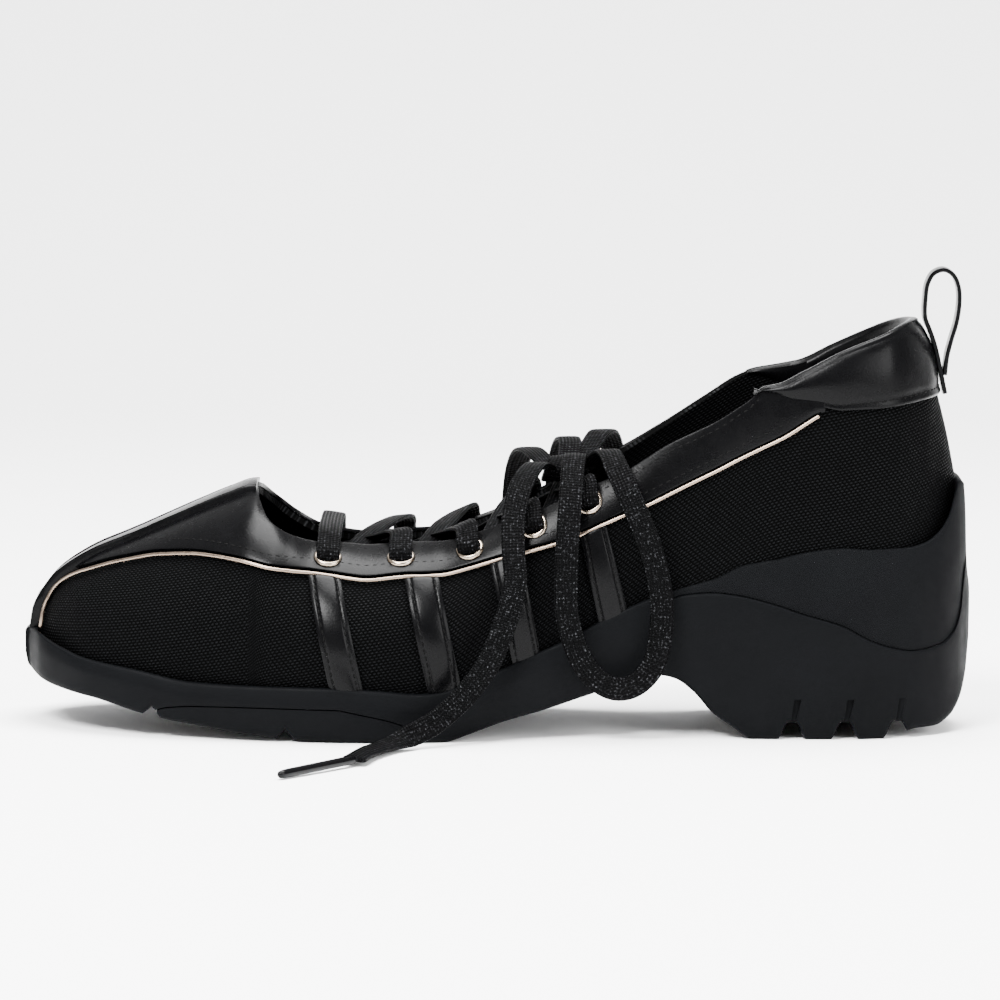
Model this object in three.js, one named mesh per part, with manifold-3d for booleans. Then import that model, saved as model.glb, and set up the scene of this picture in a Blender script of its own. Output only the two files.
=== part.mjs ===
import * as THREE from "three";
import { mergeVertices } from "three/addons/utils/BufferGeometryUtils.js";
import Module from "manifold-3d";

// Heeled sneaker for the left foot, laced over an open throat.
// Millimetres, +Z up, toe towards -X, outer side of the foot towards -Y,
// origin on the floor under the middle of the sole.

// Driving dimensions
const SHOE_LENGTH = 265;
const BALL_WIDTH = 90;
const HEEL_RISE = 45.5; // floor to footbed at the heel
const COLLAR_HEIGHT = 69.5; // footbed to collar at the back
const BALL_THICKNESS = 10.5; // sole under the ball
const TOE_SPRING = 12; // lift of the toe off the floor
const CUP_DEPTH = 8.5; // sole rim over the footbed at the heel
const SOLE_FLARE = 1.5; // how far the sole's foot stands inside its side
const LEDGE = 1; // step of the sole's side at the cradle
const UPPER_WALL = 1.8;
const TUCK = 0.06; // share of its width that the upper draws in at the feather edge
const CLEARANCE = 0.3;
const OVERLAY_THICKNESS = 1;
const CUFF_THICKNESS = 1.6;
const STRIP_THICKNESS = 0.8;
const STRIP_WIDTH = 24; // at the throat
const STRIP_TOE_WIDTH = 13.5;
const PIPING_DIAMETER = 1.5;
const INSOLE_THICKNESS = 3;
const EYELET_DIAMETER = 8.8;
const EYELET_BORE = 3.2;
const EYELET_WALL = 0.45;
const EYELET_FLANGE = 0.6;
const EYELET_EDGE = 3.4; // topline down to an eyelet's centre
const EYELET_SEAT = 0.6; // flange over the overlay, which curves under it
const LACE_WIDTH = 6.5;
const LACE_THICKNESS = 1.3;
const LACE_CORD = 3.4; // the flat lace drawn as a round cord where it hangs free
const AGLET_DIAMETER = 2.6;
const AGLET_GAP = 0.8; // from the end of a lace to its aglet, which turns aside from it
const KNOT_LENGTH = 14.6;
const KNOT_WIDTH = 12;
const KNOT_HEIGHT = 7.2;
const PULL_WIDTH = 8;
const PULL_HEIGHT = 13.4; // pull loop over the collar
const PULL_DEPTH = 9.5; // pull loop from front to back
const PULL_THICKNESS = 1.5;
const NOTCH_HEIGHT = 4.7; // grooves between the heel lugs
const NOTCH_WIDTH = 7.2; // at the floor
const NOTCH_TOP_WIDTH = 2.8;
const TREAD_NOTCH_HEIGHT = 3;
const SLOT_HEIGHT = 11.3; // slots in the sides of the heel, floor to top
const SLOT_WIDTH = 1.2; // at the notch
const SLOT_TOP_WIDTH = 2.2;
const SLOT_LEAN = 1.5; // how far a slot's top lies behind its foot
const SLOT_DEPTH = 2;
const SOLE_BEVEL = 2; // round of the sole's lower edge
const LACE_ARCH = 1.6; // rise of the lowest lace over the throat
const STRAND_RISE = 0.6; // the same for a crossing strand
const STRAND_REACH = 9; // how far inside the topline a strand starts
const DRILL = 8; // length of the cutter for an eyelet's hole
const PAST = 1; // how far a cutter runs past what it cuts
const FAR = 400; // past every side of the shoe

const LATERAL = -1;
const MEDIAL = 1;
const SIDES = [[LATERAL, "lateral"], [MEDIAL, "medial"]];

const MATERIALS = {
  mesh: new THREE.MeshStandardMaterial({ color: 0x17171a, roughness: 0.95, metalness: 0 }),
  leather: new THREE.MeshStandardMaterial({ color: 0x121214, roughness: 0.42, metalness: 0 }),
  rubber: new THREE.MeshStandardMaterial({ color: 0x0f0f11, roughness: 0.7, metalness: 0 }),
  lining: new THREE.MeshStandardMaterial({ color: 0x101013, roughness: 0.9, metalness: 0 }),
  piping: new THREE.MeshStandardMaterial({ color: 0xb8b2a6, roughness: 0.4, metalness: 0.6 }),
  eyelet: new THREE.MeshStandardMaterial({ color: 0xb9b6b0, roughness: 0.3, metalness: 1 }),
  lace: new THREE.MeshStandardMaterial({ color: 0x141416, roughness: 0.8, metalness: 0 }),
  aglet: new THREE.MeshStandardMaterial({ color: 0x0a0a0b, roughness: 0.15, metalness: 0 }),
};

// A table of sections: named columns, a row for each section, read by a smooth curve
class Table {
  constructor(columns, rows) {
    this.columns = columns;
    this.rows = rows;
  }

  slope(i, c) {
    const rise = (k) => (this.rows[k + 1][c] - this.rows[k][c]) / (this.rows[k + 1][0] - this.rows[k][0]);
    if (i === 0) return rise(0);
    if (i === this.rows.length - 1) return rise(i - 1);
    const before = rise(i - 1);
    const after = rise(i);
    return before * after <= 0 ? 0 : (2 * before * after) / (before + after);
  }

  read(name, at) {
    const c = this.columns.indexOf(name);
    const last = this.rows.length - 1;
    if (at <= this.rows[0][0]) return this.rows[0][c];
    if (at >= this.rows[last][0]) return this.rows[last][c];
    let i = 0;
    while (at > this.rows[i + 1][0]) i += 1;
    const width = this.rows[i + 1][0] - this.rows[i][0];
    const t = (at - this.rows[i][0]) / width;
    const start = this.rows[i][c] * (2 * t ** 3 - 3 * t ** 2 + 1);
    const end = this.rows[i + 1][c] * (3 * t ** 2 - 2 * t ** 3);
    const leave = this.slope(i, c) * width * (t ** 3 - 2 * t ** 2 + t);
    const arrive = this.slope(i + 1, c) * width * (t ** 3 - t ** 2);
    return start + end + leave + arrive;
  }
}

// Footbed under the foot: shares of the toe spring, and of the climb to the heel
const FOOTBED = new Table(["at", "spring", "climb"], [
  [0, 0.79, 0],
  [0.038, 0.46, 0],
  [0.075, 0.33, 0],
  [0.132, 0.21, 0],
  [0.226, 0.125, 0],
  [0.32, 0.11, 0],
  [0.377, 0.04, 0],
  [0.415, 0, 0],
  [0.442, 0, 0.014],
  [0.468, 0, 0.066],
  [0.506, 0, 0.17],
  [0.566, 0, 0.343],
  [0.608, 0, 0.486],
  [0.649, 0, 0.614],
  [0.683, 0, 0.714],
  [0.725, 0, 0.814],
  [0.758, 0, 0.886],
  [0.789, 0, 0.929],
  [0.819, 0, 0.957],
  [0.891, 0, 0.986],
  [1, 0, 1],
]);

// Sections of the last: widths are shares of the ball width, heights over the footbed
// are shares of the collar height
const LAST = new Table(["at", "outer", "inner", "ridge", "base", "widest", "crown"], [
  [0.015, -0.011, 0.111, 0.067, 0.003, 0.06, 0.13],
  [0.02, 0.039, 0.167, 0.066, 0.002, 0.075, 0.235],
  [0.026, 0.083, 0.206, 0.066, 0, 0.086, 0.27],
  [0.033, 0.122, 0.233, 0.065, 0, 0.098, 0.317],
  [0.045, 0.172, 0.272, 0.064, 0, 0.112, 0.372],
  [0.062, 0.233, 0.317, 0.063, 0, 0.122, 0.425],
  [0.08, 0.272, 0.348, 0.061, 0, 0.13, 0.472],
  [0.11, 0.321, 0.386, 0.058, 0, 0.143, 0.533],
  [0.155, 0.376, 0.424, 0.054, 0, 0.155, 0.622],
  [0.189, 0.406, 0.443, 0.05, 0, 0.161, 0.688],
  [0.223, 0.433, 0.46, 0.046, 0, 0.166, 0.748],
  [0.244, 0.449, 0.471, 0.042, 0, 0.168, 0.776],
  [0.264, 0.461, 0.476, 0.037, 0, 0.171, 0.76],
  [0.283, 0.469, 0.476, 0.032, 0, 0.173, 0.706],
  [0.309, 0.479, 0.477, 0.025, 0, 0.177, 0.64],
  [0.347, 0.483, 0.477, 0.016, 0, 0.188, 0.623],
  [0.415, 0.47, 0.444, 0.007, 0, 0.229, 0.646],
  [0.502, 0.415, 0.377, 0, 0, 0.211, 0.71],
  [0.547, 0.388, 0.339, 0, 0, 0.218, 0.775],
  [0.608, 0.357, 0.311, 0, 0, 0.235, 0.84],
  [0.679, 0.337, 0.307, 0, 0, 0.271, 1.13],
  [0.774, 0.336, 0.324, 0, 0, 0.296, 1.68],
  [0.849, 0.331, 0.324, 0, 0, 0.312, 1.61],
  [0.898, 0.312, 0.309, 0, 0, 0.326, 1.45],
  [0.917, 0.292, 0.291, 0, 0, 0.335, 1.25],
  [0.93, 0.267, 0.267, 0, 0, 0.343, 1.09],
  [0.939, 0.243, 0.243, 0, 0, 0.348, 0.991],
  [0.95, 0.212, 0.212, 0, 0.002, 0.353, 0.879],
  [0.962, 0.165, 0.165, 0, 0.02, 0.354, 0.72],
  [0.974, 0.11, 0.11, 0, 0.11, 0.348, 0.54],
  [0.982, 0.05, 0.05, 0, 0.27, 0.339, 0.39],
]);

// Topline from the throat to the back: heights over the footbed, shares of the collar height
const TOPLINE = new Table(["at", "lateral", "medial"], [
  [0.244, 0.795, 0.795],
  [0.249, 0.739, 0.76],
  [0.26, 0.667, 0.71],
  [0.285, 0.606, 0.635],
  [0.317, 0.575, 0.581],
  [0.358, 0.574, 0.56],
  [0.415, 0.597, 0.591],
  [0.491, 0.595, 0.591],
  [0.566, 0.607, 0.626],
  [0.626, 0.616, 0.645],
  [0.679, 0.663, 0.684],
  [0.725, 0.697, 0.741],
  [0.76, 0.747, 0.786],
  [0.776, 0.786, 0.796],
  [0.792, 0.79, 0.797],
  [0.817, 0.825, 0.803],
  [0.858, 0.894, 0.864],
  [0.898, 0.946, 0.929],
  [0.931, 0.992, 0.982],
  [0.945, 1, 1],
]);

// Piping along the overlay's lower edge: height over the footbed, share of the collar height
const PIPING = new Table(["at", "height"], [
  [0.021, 0.13],
  [0.0225, 0.188],
  [0.026, 0.235],
  [0.036, 0.31],
  [0.053, 0.37],
  [0.072, 0.41],
  [0.106, 0.465],
  [0.151, 0.515],
  [0.196, 0.535],
  [0.23, 0.527],
  [0.264, 0.5],
  [0.309, 0.477],
  [0.358, 0.462],
  [0.415, 0.488],
  [0.474, 0.484],
  [0.528, 0.47],
  [0.59, 0.452],
  [0.652, 0.46],
  [0.715, 0.498],
  [0.794, 0.578],
  [0.833, 0.655],
]);

// Lower edge of the padded cuff: height over the footbed, share of the collar height
const CUFF = new Table(["at", "height"], [
  [0.766, 0.798],
  [0.787, 0.762],
  [0.807, 0.721],
  [0.838, 0.689],
  [0.858, 0.671],
  [0.888, 0.671],
  [0.918, 0.68],
  [0.968, 0.707],
]);

// Plan outline of the sole, shares of the ball width, and its rim over the footbed
const SOLE = new Table(["at", "outer", "inner"], [
  [0, -0.022, 0.111],
  [0.008, 0.05, 0.172],
  [0.019, 0.133, 0.244],
  [0.038, 0.206, 0.306],
  [0.075, 0.3, 0.378],
  [0.132, 0.383, 0.439],
  [0.189, 0.433, 0.467],
  [0.264, 0.478, 0.494],
  [0.34, 0.5, 0.5],
  [0.415, 0.489, 0.461],
  [0.491, 0.444, 0.406],
  [0.566, 0.4, 0.35],
  [0.642, 0.367, 0.328],
  [0.717, 0.356, 0.333],
  [0.792, 0.361, 0.35],
  [0.868, 0.356, 0.35],
  [0.925, 0.311, 0.311],
  [0.962, 0.239, 0.239],
  [0.985, 0.156, 0.156],
  [0.996, 0.078, 0.078],
  [1, 0.033, 0.033],
]);

const RIM = new Table(["at", "height"], [
  [0, 0.649],
  [0.004, 0.78],
  [0.015, 0.92],
  [0.026, 0.9],
  [0.045, 0.822],
  [0.068, 0.706],
  [0.121, 0.633],
  [0.185, 0.411],
  [0.275, 0.399],
  [0.37, 0.412],
  [0.415, 0.365],
  [0.438, 0.355],
  [0.46, 0.402],
  [0.506, 0.418],
  [0.528, 0.499],
  [0.566, 0.529],
  [0.608, 0.634],
  [0.649, 0.707],
  [0.683, 0.672],
  [0.726, 0.642],
  [0.758, 0.822],
  [0.789, 0.822],
  [0.819, 0.93],
  [0.857, 1.006],
  [0.892, 0.915],
  [0.928, 0.916],
  [0.947, 1.024],
  [0.962, 1.312],
  [0.974, 1.836],
  [0.981, 2.574],
  [0.985, 2.95],
  [0.991, 2.828],
  [0.994, 1.826],
  [0.996, 0.178],
  [1, -0.647],
]);

// Underside of the sole: shares of the toe spring and of the heel's rise
const UNDERSIDE = new Table(["at", "spring", "arch"], [
  [0, 1.625, 0],
  [0.003, 1.325, 0],
  [0.011, 1.175, 0],
  [0.026, 1.033, 0],
  [0.049, 0.917, 0],
  [0.083, 0.792, 0],
  [0.128, 0.542, 0],
  [0.158, 0.425, 0],
  [0.189, 0.317, 0],
  [0.234, 0.158, 0],
  [0.264, 0.104, 0],
  [0.294, 0.042, 0],
  [0.332, 0, 0],
  [0.445, 0, 0],
  [0.472, 0, 0.044],
  [0.506, 0, 0.114],
  [0.551, 0, 0.185],
  [0.592, 0, 0.262],
  [0.66, 0, 0.38],
  [0.672, 0, 0.385],
  [0.687, 0, 0.365],
  [0.706, 0, 0.286],
  [0.726, 0, 0.156],
  [0.749, 0, 0.064],
  [0.766, 0, 0],
  [0.906, 0, 0],
  [0.94, 0, 0.051],
  [0.96, 0, 0.055],
  [0.977, 0, 0.101],
  [0.989, 0, 0.198],
  [0.996, 0, 0.33],
  [1, 0, 0.527],
]);

// Wave-shaped ledge between heel block and cradle, share of the heel's rise
const WAVE = new Table(["at", "height"], [
  [0.664, 0.72],
  [0.675, 0.835],
  [0.7, 0.885],
  [0.725, 0.895],
  [0.747, 0.884],
  [0.787, 0.831],
  [0.819, 0.769],
  [0.86, 0.697],
  [0.892, 0.6],
  [0.912, 0.56],
  [0.936, 0.534],
  [0.965, 0.558],
  [0.981, 0.629],
  [0.989, 0.754],
  [0.992, 0.941],
  [0.996, 1.099],
]);

// Groove between midsole and forefoot tread, share of the sole's thickness at the ball
const GROOVE = new Table(["at", "height"], [
  [0.145, 0.724],
  [0.155, 0.8],
  [0.185, 0.876],
  [0.242, 0.895],
  [0.332, 0.876],
  [0.361, 0.743],
  [0.384, 0.619],
  [0.406, 0.429],
  [0.426, 0],
]);

// Side straps: their front and back edges at the piping and at the sole
const STRAPS = new Table(["at", "top_back", "foot_front", "foot_back"], [
  [0.303, 0.338, 0.328, 0.363],
  [0.404, 0.44, 0.43, 0.463],
  [0.493, 0.526, 0.517, 0.545],
  [0.587, 0.614, 0.606, 0.636],
]);

const EYELETS = [0.323, 0.4, 0.473, 0.539, 0.596];
const HEEL_NOTCHES = [0.809, 0.8645, 0.9195];
const TREAD_NOTCHES = [0.141, 0.281];
const INSOLE_END = 0.925;
const STRAND_START = 0.25; // share of the way to the next eyelet
const PULL_LEG = [0.964, 0.957, 0.95, 0.944, 0.939]; // the leg of the pull loop on the cuff's back

// Pull loop behind the collar: shares of its depth and of its height
const PULL = new Table(["along", "back", "up"], [
  [0, 0, 0.41],
  [0.1, 0.06, 0.71],
  [0.2, 0.23, 0.92],
  [0.3, 0.53, 1],
  [0.4, 0.8, 0.9],
  [0.5, 0.96, 0.67],
  [0.6, 1, 0.34],
  [0.7, 0.93, -0.07],
  [0.8, 0.78, -0.45],
  [0.9, 0.66, -0.8],
  [1, 0.6, -1.19],
]);

// Routes of the lace where it hangs free, laid by hand from the toe tip
const KNOT = [151.5, -4, 72.3];
const LOOP_LATERAL = [
  [154.2, -9.2, 73.6], [154, -17.5, 77.2], [153.6, -25.5, 77.2], [152.8, -34, 70], [152, -38.6, 59],
  [151.5, -40.2, 46.5], [151.8, -40.8, 36], [153.8, -41, 28], [156.8, -40.6, 21.5], [161, -39.8, 17],
  [165.4, -39, 15], [169.8, -38.4, 15.6], [173.8, -37.8, 18.6], [176.3, -37.4, 23], [177.6, -37, 29.5],
  [178, -36.6, 37], [177, -37, 45], [174.6, -37.8, 54], [171.5, -37.2, 62], [168, -35, 69.5],
  [165.2, -30.5, 75.5], [163.4, -23.5, 78.8], [161.6, -15.5, 78], [158.2, -7.8, 73.8],
];
const LOOP_MEDIAL = [
  [152.4, 1.5, 73.4], [153, 9.5, 77.8], [152.3, 17, 78.8], [151, 25, 76], [149.8, 31.5, 69], [149.2, 35.4, 59],
  [149.8, 36.8, 50], [152.5, 37.4, 43], [157.5, 37, 40], [162.5, 36.4, 42.5], [165.5, 36, 49], [166.2, 35.6, 58],
  [166, 34.4, 67], [165.2, 31, 74.5], [163.6, 25, 79.4], [161.4, 17, 80.6], [158.8, 9, 77.8], [155.8, 0.7, 73.4],
];
const END_LATERAL = [
  [146.2, -7.4, 72.8], [143.6, -14.5, 74.6], [141.5, -21.5, 73.6], [139, -28.5, 69.8], [137, -35, 62],
  [137, -39.6, 52.5], [137.6, -42, 44.5], [135.8, -43.8, 37], [133.4, -45.2, 29.8], [130.9, -46.2, 23.7],
  [127.6, -47.2, 18.7], [122.3, -48.6, 12.5], [115, -51, 6.6], [105.5, -57, 2.6], [98.5, -70, 2], [94.6, -85, 2],
];
const END_MEDIAL = [
  [146.4, 0.5, 73], [143.4, 7, 75.4], [141.2, 14, 76], [139.4, 21.5, 74], [137.8, 29, 68], [137, 35, 59], [136.8, 38.4, 50],
];
const AGLET_LATERAL = [[94.6, -85, 2], [75.2, -109.5, 1.4]];
const AGLET_MEDIAL = [[136.8, 38.4, 50], [136.4, 41.4, 28]];

const footbed = (x) => {
  const at = x / SHOE_LENGTH;
  const climb = FOOTBED.read("climb", at) * (HEEL_RISE - BALL_THICKNESS);
  return BALL_THICKNESS + FOOTBED.read("spring", at) * TOE_SPRING + climb;
};
const overFootbed = (table, column, x) => footbed(x) + table.read(column, x / SHOE_LENGTH) * COLLAR_HEIGHT;
const topline = (x, side) => overFootbed(TOPLINE, side === LATERAL ? "lateral" : "medial", x);
const piping = (x) => overFootbed(PIPING, "height", x);
const cuffEdge = (x) => overFootbed(CUFF, "height", x);
const rim = (x) => footbed(x) + RIM.read("height", x / SHOE_LENGTH) * CUP_DEPTH;
const wave = (x) => WAVE.read("height", x / SHOE_LENGTH) * HEEL_RISE;
const groove = (x) => GROOVE.read("height", x / SHOE_LENGTH) * BALL_THICKNESS;
const underside = (x) => {
  const at = x / SHOE_LENGTH;
  return UNDERSIDE.read("spring", at) * TOE_SPRING + UNDERSIDE.read("arch", at) * HEEL_RISE;
};
const soleHalf = (x, side) => SOLE.read(side === LATERAL ? "outer" : "inner", x / SHOE_LENGTH) * BALL_WIDTH;

// One section of the last, in millimetres
function section(x) {
  const at = x / SHOE_LENGTH;
  const ridge = LAST.read("ridge", at) * BALL_WIDTH;
  return {
    ridge,
    halves: {
      [LATERAL]: LAST.read("outer", at) * BALL_WIDTH + ridge,
      [MEDIAL]: LAST.read("inner", at) * BALL_WIDTH - ridge,
    },
    base: overFootbed(LAST, "base", x),
    widest: overFootbed(LAST, "widest", x),
    crown: overFootbed(LAST, "crown", x),
  };
}

// A point of the last's skin: turn runs from -1 at the outer feather edge over the ridge at 0
// to 1 at the inner feather edge, and the stretch past LOW lies below the widest level
const LOW = 0.8;
function skin(x, turn) {
  const s = section(x);
  const side = turn < 0 ? LATERAL : MEDIAL;
  const reach = Math.abs(turn);
  if (reach <= LOW) {
    const angle = (reach / LOW) * (Math.PI / 2);
    const z = s.widest + (s.crown - s.widest) * Math.cos(angle);
    return new THREE.Vector3(x, s.ridge + side * s.halves[side] * Math.sin(angle), z);
  }
  const down = (reach - LOW) / (1 - LOW);
  const width = s.halves[side] * (1 - TUCK * down ** 2);
  return new THREE.Vector3(x, s.ridge + side * width, s.widest + (s.base - s.widest) * down);
}

const FIRST = LAST.rows[0][0] * SHOE_LENGTH;
const FINAL = LAST.rows[LAST.rows.length - 1][0] * SHOE_LENGTH;

function skinNormal(x, turn) {
  const step = 0.02;
  const along = skin(Math.min(x + step, FINAL), turn).sub(skin(Math.max(x - step, FIRST), turn));
  const round = skin(x, Math.min(turn + step / 4, 1)).sub(skin(x, Math.max(turn - step / 4, -1)));
  return round.cross(along).negate().normalize();
}

const offsetSkin = (x, turn, offset) => skin(x, turn).addScaledVector(skinNormal(x, turn), offset);

// The turn at which the last's skin reaches a height on one side
function turnAt(x, z, side) {
  const s = section(x);
  if (z < s.widest) {
    const down = THREE.MathUtils.clamp((s.widest - z) / (s.widest - s.base), 0, 1);
    return side * (LOW + (1 - LOW) * down);
  }
  const cosine = THREE.MathUtils.clamp((z - s.widest) / (s.crown - s.widest), 0, 1);
  return side * LOW * (Math.acos(cosine) / (Math.PI / 2));
}

const onSide = (x, z, side, offset) => offsetSkin(x, turnAt(x, z, side), offset);

// Solids
const wasm = await Module();
wasm.setup();

function solid(geometry) {
  const bare = geometry.clone();
  bare.deleteAttribute("normal");
  bare.deleteAttribute("uv");
  const merged = mergeVertices(bare, 1e-4);
  const vertProperties = new Float32Array(merged.attributes.position.array);
  const triVerts = new Uint32Array(merged.index.array);
  return new wasm.Manifold(new wasm.Mesh({ numProp: 3, vertProperties, triVerts }));
}

// Rings of equal size joined into a closed solid, first and last ring capped by a fan
function loft(rings) {
  const count = rings[0].length;
  const positions = rings.flat().flatMap((p) => [p.x, p.y, p.z]);
  const index = [];
  for (let i = 0; i < rings.length - 1; i += 1) {
    for (let j = 0; j < count; j += 1) {
      const a = i * count + j;
      const b = i * count + ((j + 1) % count);
      index.push(a, a + count, b, b, a + count, b + count);
    }
  }
  [0, rings.length - 1].forEach((i) => {
    const centre = new THREE.Vector3();
    rings[i].forEach((p) => centre.addScaledVector(p, 1 / count));
    const hub = positions.length / 3;
    positions.push(centre.x, centre.y, centre.z);
    for (let j = 0; j < count; j += 1) {
      const a = i * count + j;
      const b = i * count + ((j + 1) % count);
      index.push(...(i === 0 ? [hub, a, b] : [hub, b, a]));
    }
  });
  const geometry = new THREE.BufferGeometry();
  geometry.setAttribute("position", new THREE.Float32BufferAttribute(positions, 3));
  geometry.setIndex(index);
  return solid(geometry);
}

// Places of the sections that the form is lofted through, close together at both ends
const STATIONS = [
  0.015, 0.02, 0.026, 0.035, 0.048, 0.068, 0.1, 0.15, 0.2, 0.244, 0.264, 0.283, 0.309, 0.345, 0.38,
  0.42, 0.46, 0.502, 0.547, 0.595, 0.635, 0.679, 0.725, 0.774, 0.84, 0.88, 0.91, 0.933,
  0.95, 0.962, 0.974, 0.982,
].map((share) => share * SHOE_LENGTH);
const TOP_STEPS = 5;
const LOW_STEPS = 1;

// Turns of the points round one section, from the outer feather edge to the inner one
function turns() {
  const half = [];
  for (let i = 0; i < LOW_STEPS; i += 1) half.push(1 - ((1 - LOW) * i) / LOW_STEPS);
  for (let i = 0; i < TOP_STEPS; i += 1) half.push(LOW * (1 - i / TOP_STEPS));
  return [...half.map((t) => -t), 0, ...half.reverse()];
}

// The last's form, offset outwards, its flat bottom lifted off the footbed or dropped below it
function lastForm(offset, lift, drop = 0) {
  const rings = STATIONS.map((x) => {
    const ring = turns().map((turn) => offsetSkin(x, turn, offset));
    const feather = section(x).base + lift;
    ring[0].z = feather;
    ring[ring.length - 1].z = feather;
    if (drop > 0) {
      ring.push(ring[ring.length - 1].clone().setZ(feather - drop));
      ring.unshift(ring[0].clone().setZ(feather - drop));
    }
    return ring;
  });
  return loft(rings);
}

// A side outline in X and Z pushed through from one Y to another
function prism(outline, fromY, toY) {
  const shape = new THREE.Shape(outline.map(([x, z]) => new THREE.Vector2(x, z)));
  const geometry = new THREE.ExtrudeGeometry(shape, { depth: toY - fromY, bevelEnabled: false });
  geometry.rotateX(Math.PI / 2);
  geometry.translate(0, toY, 0);
  return solid(geometry);
}

const PARTING = 3; // Y where the outlines of the two sides meet on the ridge
const sidePrism = (outline, side) => (
  side === LATERAL ? prism(outline, -FAR, PARTING) : prism(outline, PARTING, FAR)
);

// Samples of a line between two places, with the table's own rows kept
function samples(table, from, to) {
  const rows = table.rows.map((row) => row[0] * SHOE_LENGTH);
  const inside = rows.filter((x) => x > from && x < to);
  return [from, ...inside, to];
}

const throatStart = TOPLINE.rows[0][0] * SHOE_LENGTH;
const toplineEnd = TOPLINE.rows[TOPLINE.rows.length - 1][0] * SHOE_LENGTH;

// Everything over the topline: the throat and the collar's mouth
function mouth() {
  const halves = SIDES.map(([side]) => {
    const edge = samples(TOPLINE, throatStart, toplineEnd).map((x) => [x, topline(x, side)]);
    const back = topline(toplineEnd, side);
    return sidePrism([...edge, [FAR, back], [FAR, FAR], [throatStart, FAR]], side);
  });
  return halves[0].add(halves[1]);
}

// Everything below a line on one side
function below(table, line, from, to, side) {
  const edge = samples(table, from, to).map((x) => [x, line(x)]);
  return sidePrism([[-FAR, -FAR], [FAR, -FAR], [FAR, line(to)], ...edge.reverse(), [-FAR, line(from)]], side);
}

const pipingStart = PIPING.rows[0][0] * SHOE_LENGTH;
const pipingEnd = PIPING.rows[PIPING.rows.length - 1][0] * SHOE_LENGTH;
const pipingReach = PIPING_DIAMETER / 2 + CLEARANCE;

// Middle line of the piping on one side, lying on the skin
const pipingLine = (side) => (
  samples(PIPING, pipingStart, pipingEnd).map((x) => onSide(x, piping(x), side, pipingReach))
);

// Everything below the piping's middle line as seen from the side, shifted across it by a distance
function belowPiping(side, shift) {
  const line = pipingLine(side);
  const edge = line.map((p, i) => {
    const before = line[Math.max(i - 1, 0)];
    const after = line[Math.min(i + 1, line.length - 1)];
    const run = new THREE.Vector2(after.x - before.x, after.z - before.z).normalize();
    return [p.x - run.y * shift, p.z + run.x * shift];
  });
  const ends = [edge[0], edge[edge.length - 1]];
  const outline = [[-FAR, -FAR], [FAR, -FAR], [FAR, ends[1][1]], ...edge.reverse(), [-FAR, ends[0][1]]];
  return sidePrism(outline, side);
}

const cuffStart = CUFF.rows[0][0] * SHOE_LENGTH;
const cuffEnd = CUFF.rows[CUFF.rows.length - 1][0] * SHOE_LENGTH;

// Side outline of the cuff, wider all round by a margin
function cuffOutline(margin) {
  const edge = samples(CUFF, cuffStart, cuffEnd).map((x) => [x - margin, cuffEdge(x) - margin]);
  return [...edge, [FAR, cuffEdge(cuffEnd) - margin], [FAR, FAR], [cuffStart - margin, FAR]];
}

const skinInner = lastForm(-UPPER_WALL, CLEARANCE, CUP_DEPTH);
const overlaySkin = lastForm(CLEARANCE, 0, CUP_DEPTH);
const overlayTop = CLEARANCE + OVERLAY_THICKNESS;
const overlayShell = lastForm(overlayTop, 0, CUP_DEPTH / 2).subtract(overlaySkin);
const mouthCut = mouth();

// Places of the eyelets on one side: on the skin, a little below the topline
function eyeletPlace(at, side) {
  const x = at * SHOE_LENGTH;
  const z = topline(x, side) - EYELET_EDGE;
  const turn = turnAt(x, z, side);
  return { point: skin(x, turn), normal: skinNormal(x, turn) };
}

const UP = new THREE.Vector3(0, 1, 0);

// A turned piece stood on the skin, its own axis along the skin's normal
function stand(geometry, place, height) {
  geometry.applyQuaternion(new THREE.Quaternion().setFromUnitVectors(UP, place.normal));
  const foot = place.point.clone().addScaledVector(place.normal, height);
  geometry.translate(foot.x, foot.y, foot.z);
  return solid(geometry);
}

const EYELET_SIDES = 8;
const ROD_SIDES = 10;
const CORD_SIDES = 8;
const PIPING_SIDES = 6;
const PIPING_STEPS = 28;
const barrelRadius = EYELET_BORE / 2 + EYELET_WALL;

function eyeletHoles() {
  const radius = barrelRadius + CLEARANCE;
  const places = SIDES.flatMap(([side]) => EYELETS.map((at) => eyeletPlace(at, side)));
  const cutters = places.map((place) => (
    stand(new THREE.CylinderGeometry(radius, radius, DRILL, EYELET_SIDES), place, 0)
  ));
  return cutters.reduce((all, cutter) => all.add(cutter));
}

const holes = eyeletHoles();

function eyelet(at, side) {
  const seat = overlayTop + EYELET_SEAT;
  const foot = -UPPER_WALL - CLEARANCE;
  const profile = [
    [EYELET_BORE / 2, foot],
    [barrelRadius, foot],
    [barrelRadius, seat],
    [EYELET_DIAMETER / 2, seat],
    [EYELET_BORE / 2, seat + EYELET_FLANGE],
    [EYELET_BORE / 2, foot],
  ];
  const points = profile.map(([r, y]) => new THREE.Vector2(r, y));
  return stand(new THREE.LatheGeometry(points, EYELET_SIDES), eyeletPlace(at, side), 0);
}

function upper() {
  return lastForm(0, CLEARANCE).subtract(skinInner).subtract(mouthCut).subtract(holes);
}

function vampOverlay() {
  const cuts = SIDES.flatMap(([side]) => [
    belowPiping(side, pipingReach),
    sidePrism(cuffOutline(CLEARANCE), side),
  ]);
  return cuts.reduce((piece, cut) => piece.subtract(cut), overlayShell.subtract(mouthCut).subtract(holes));
}

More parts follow.
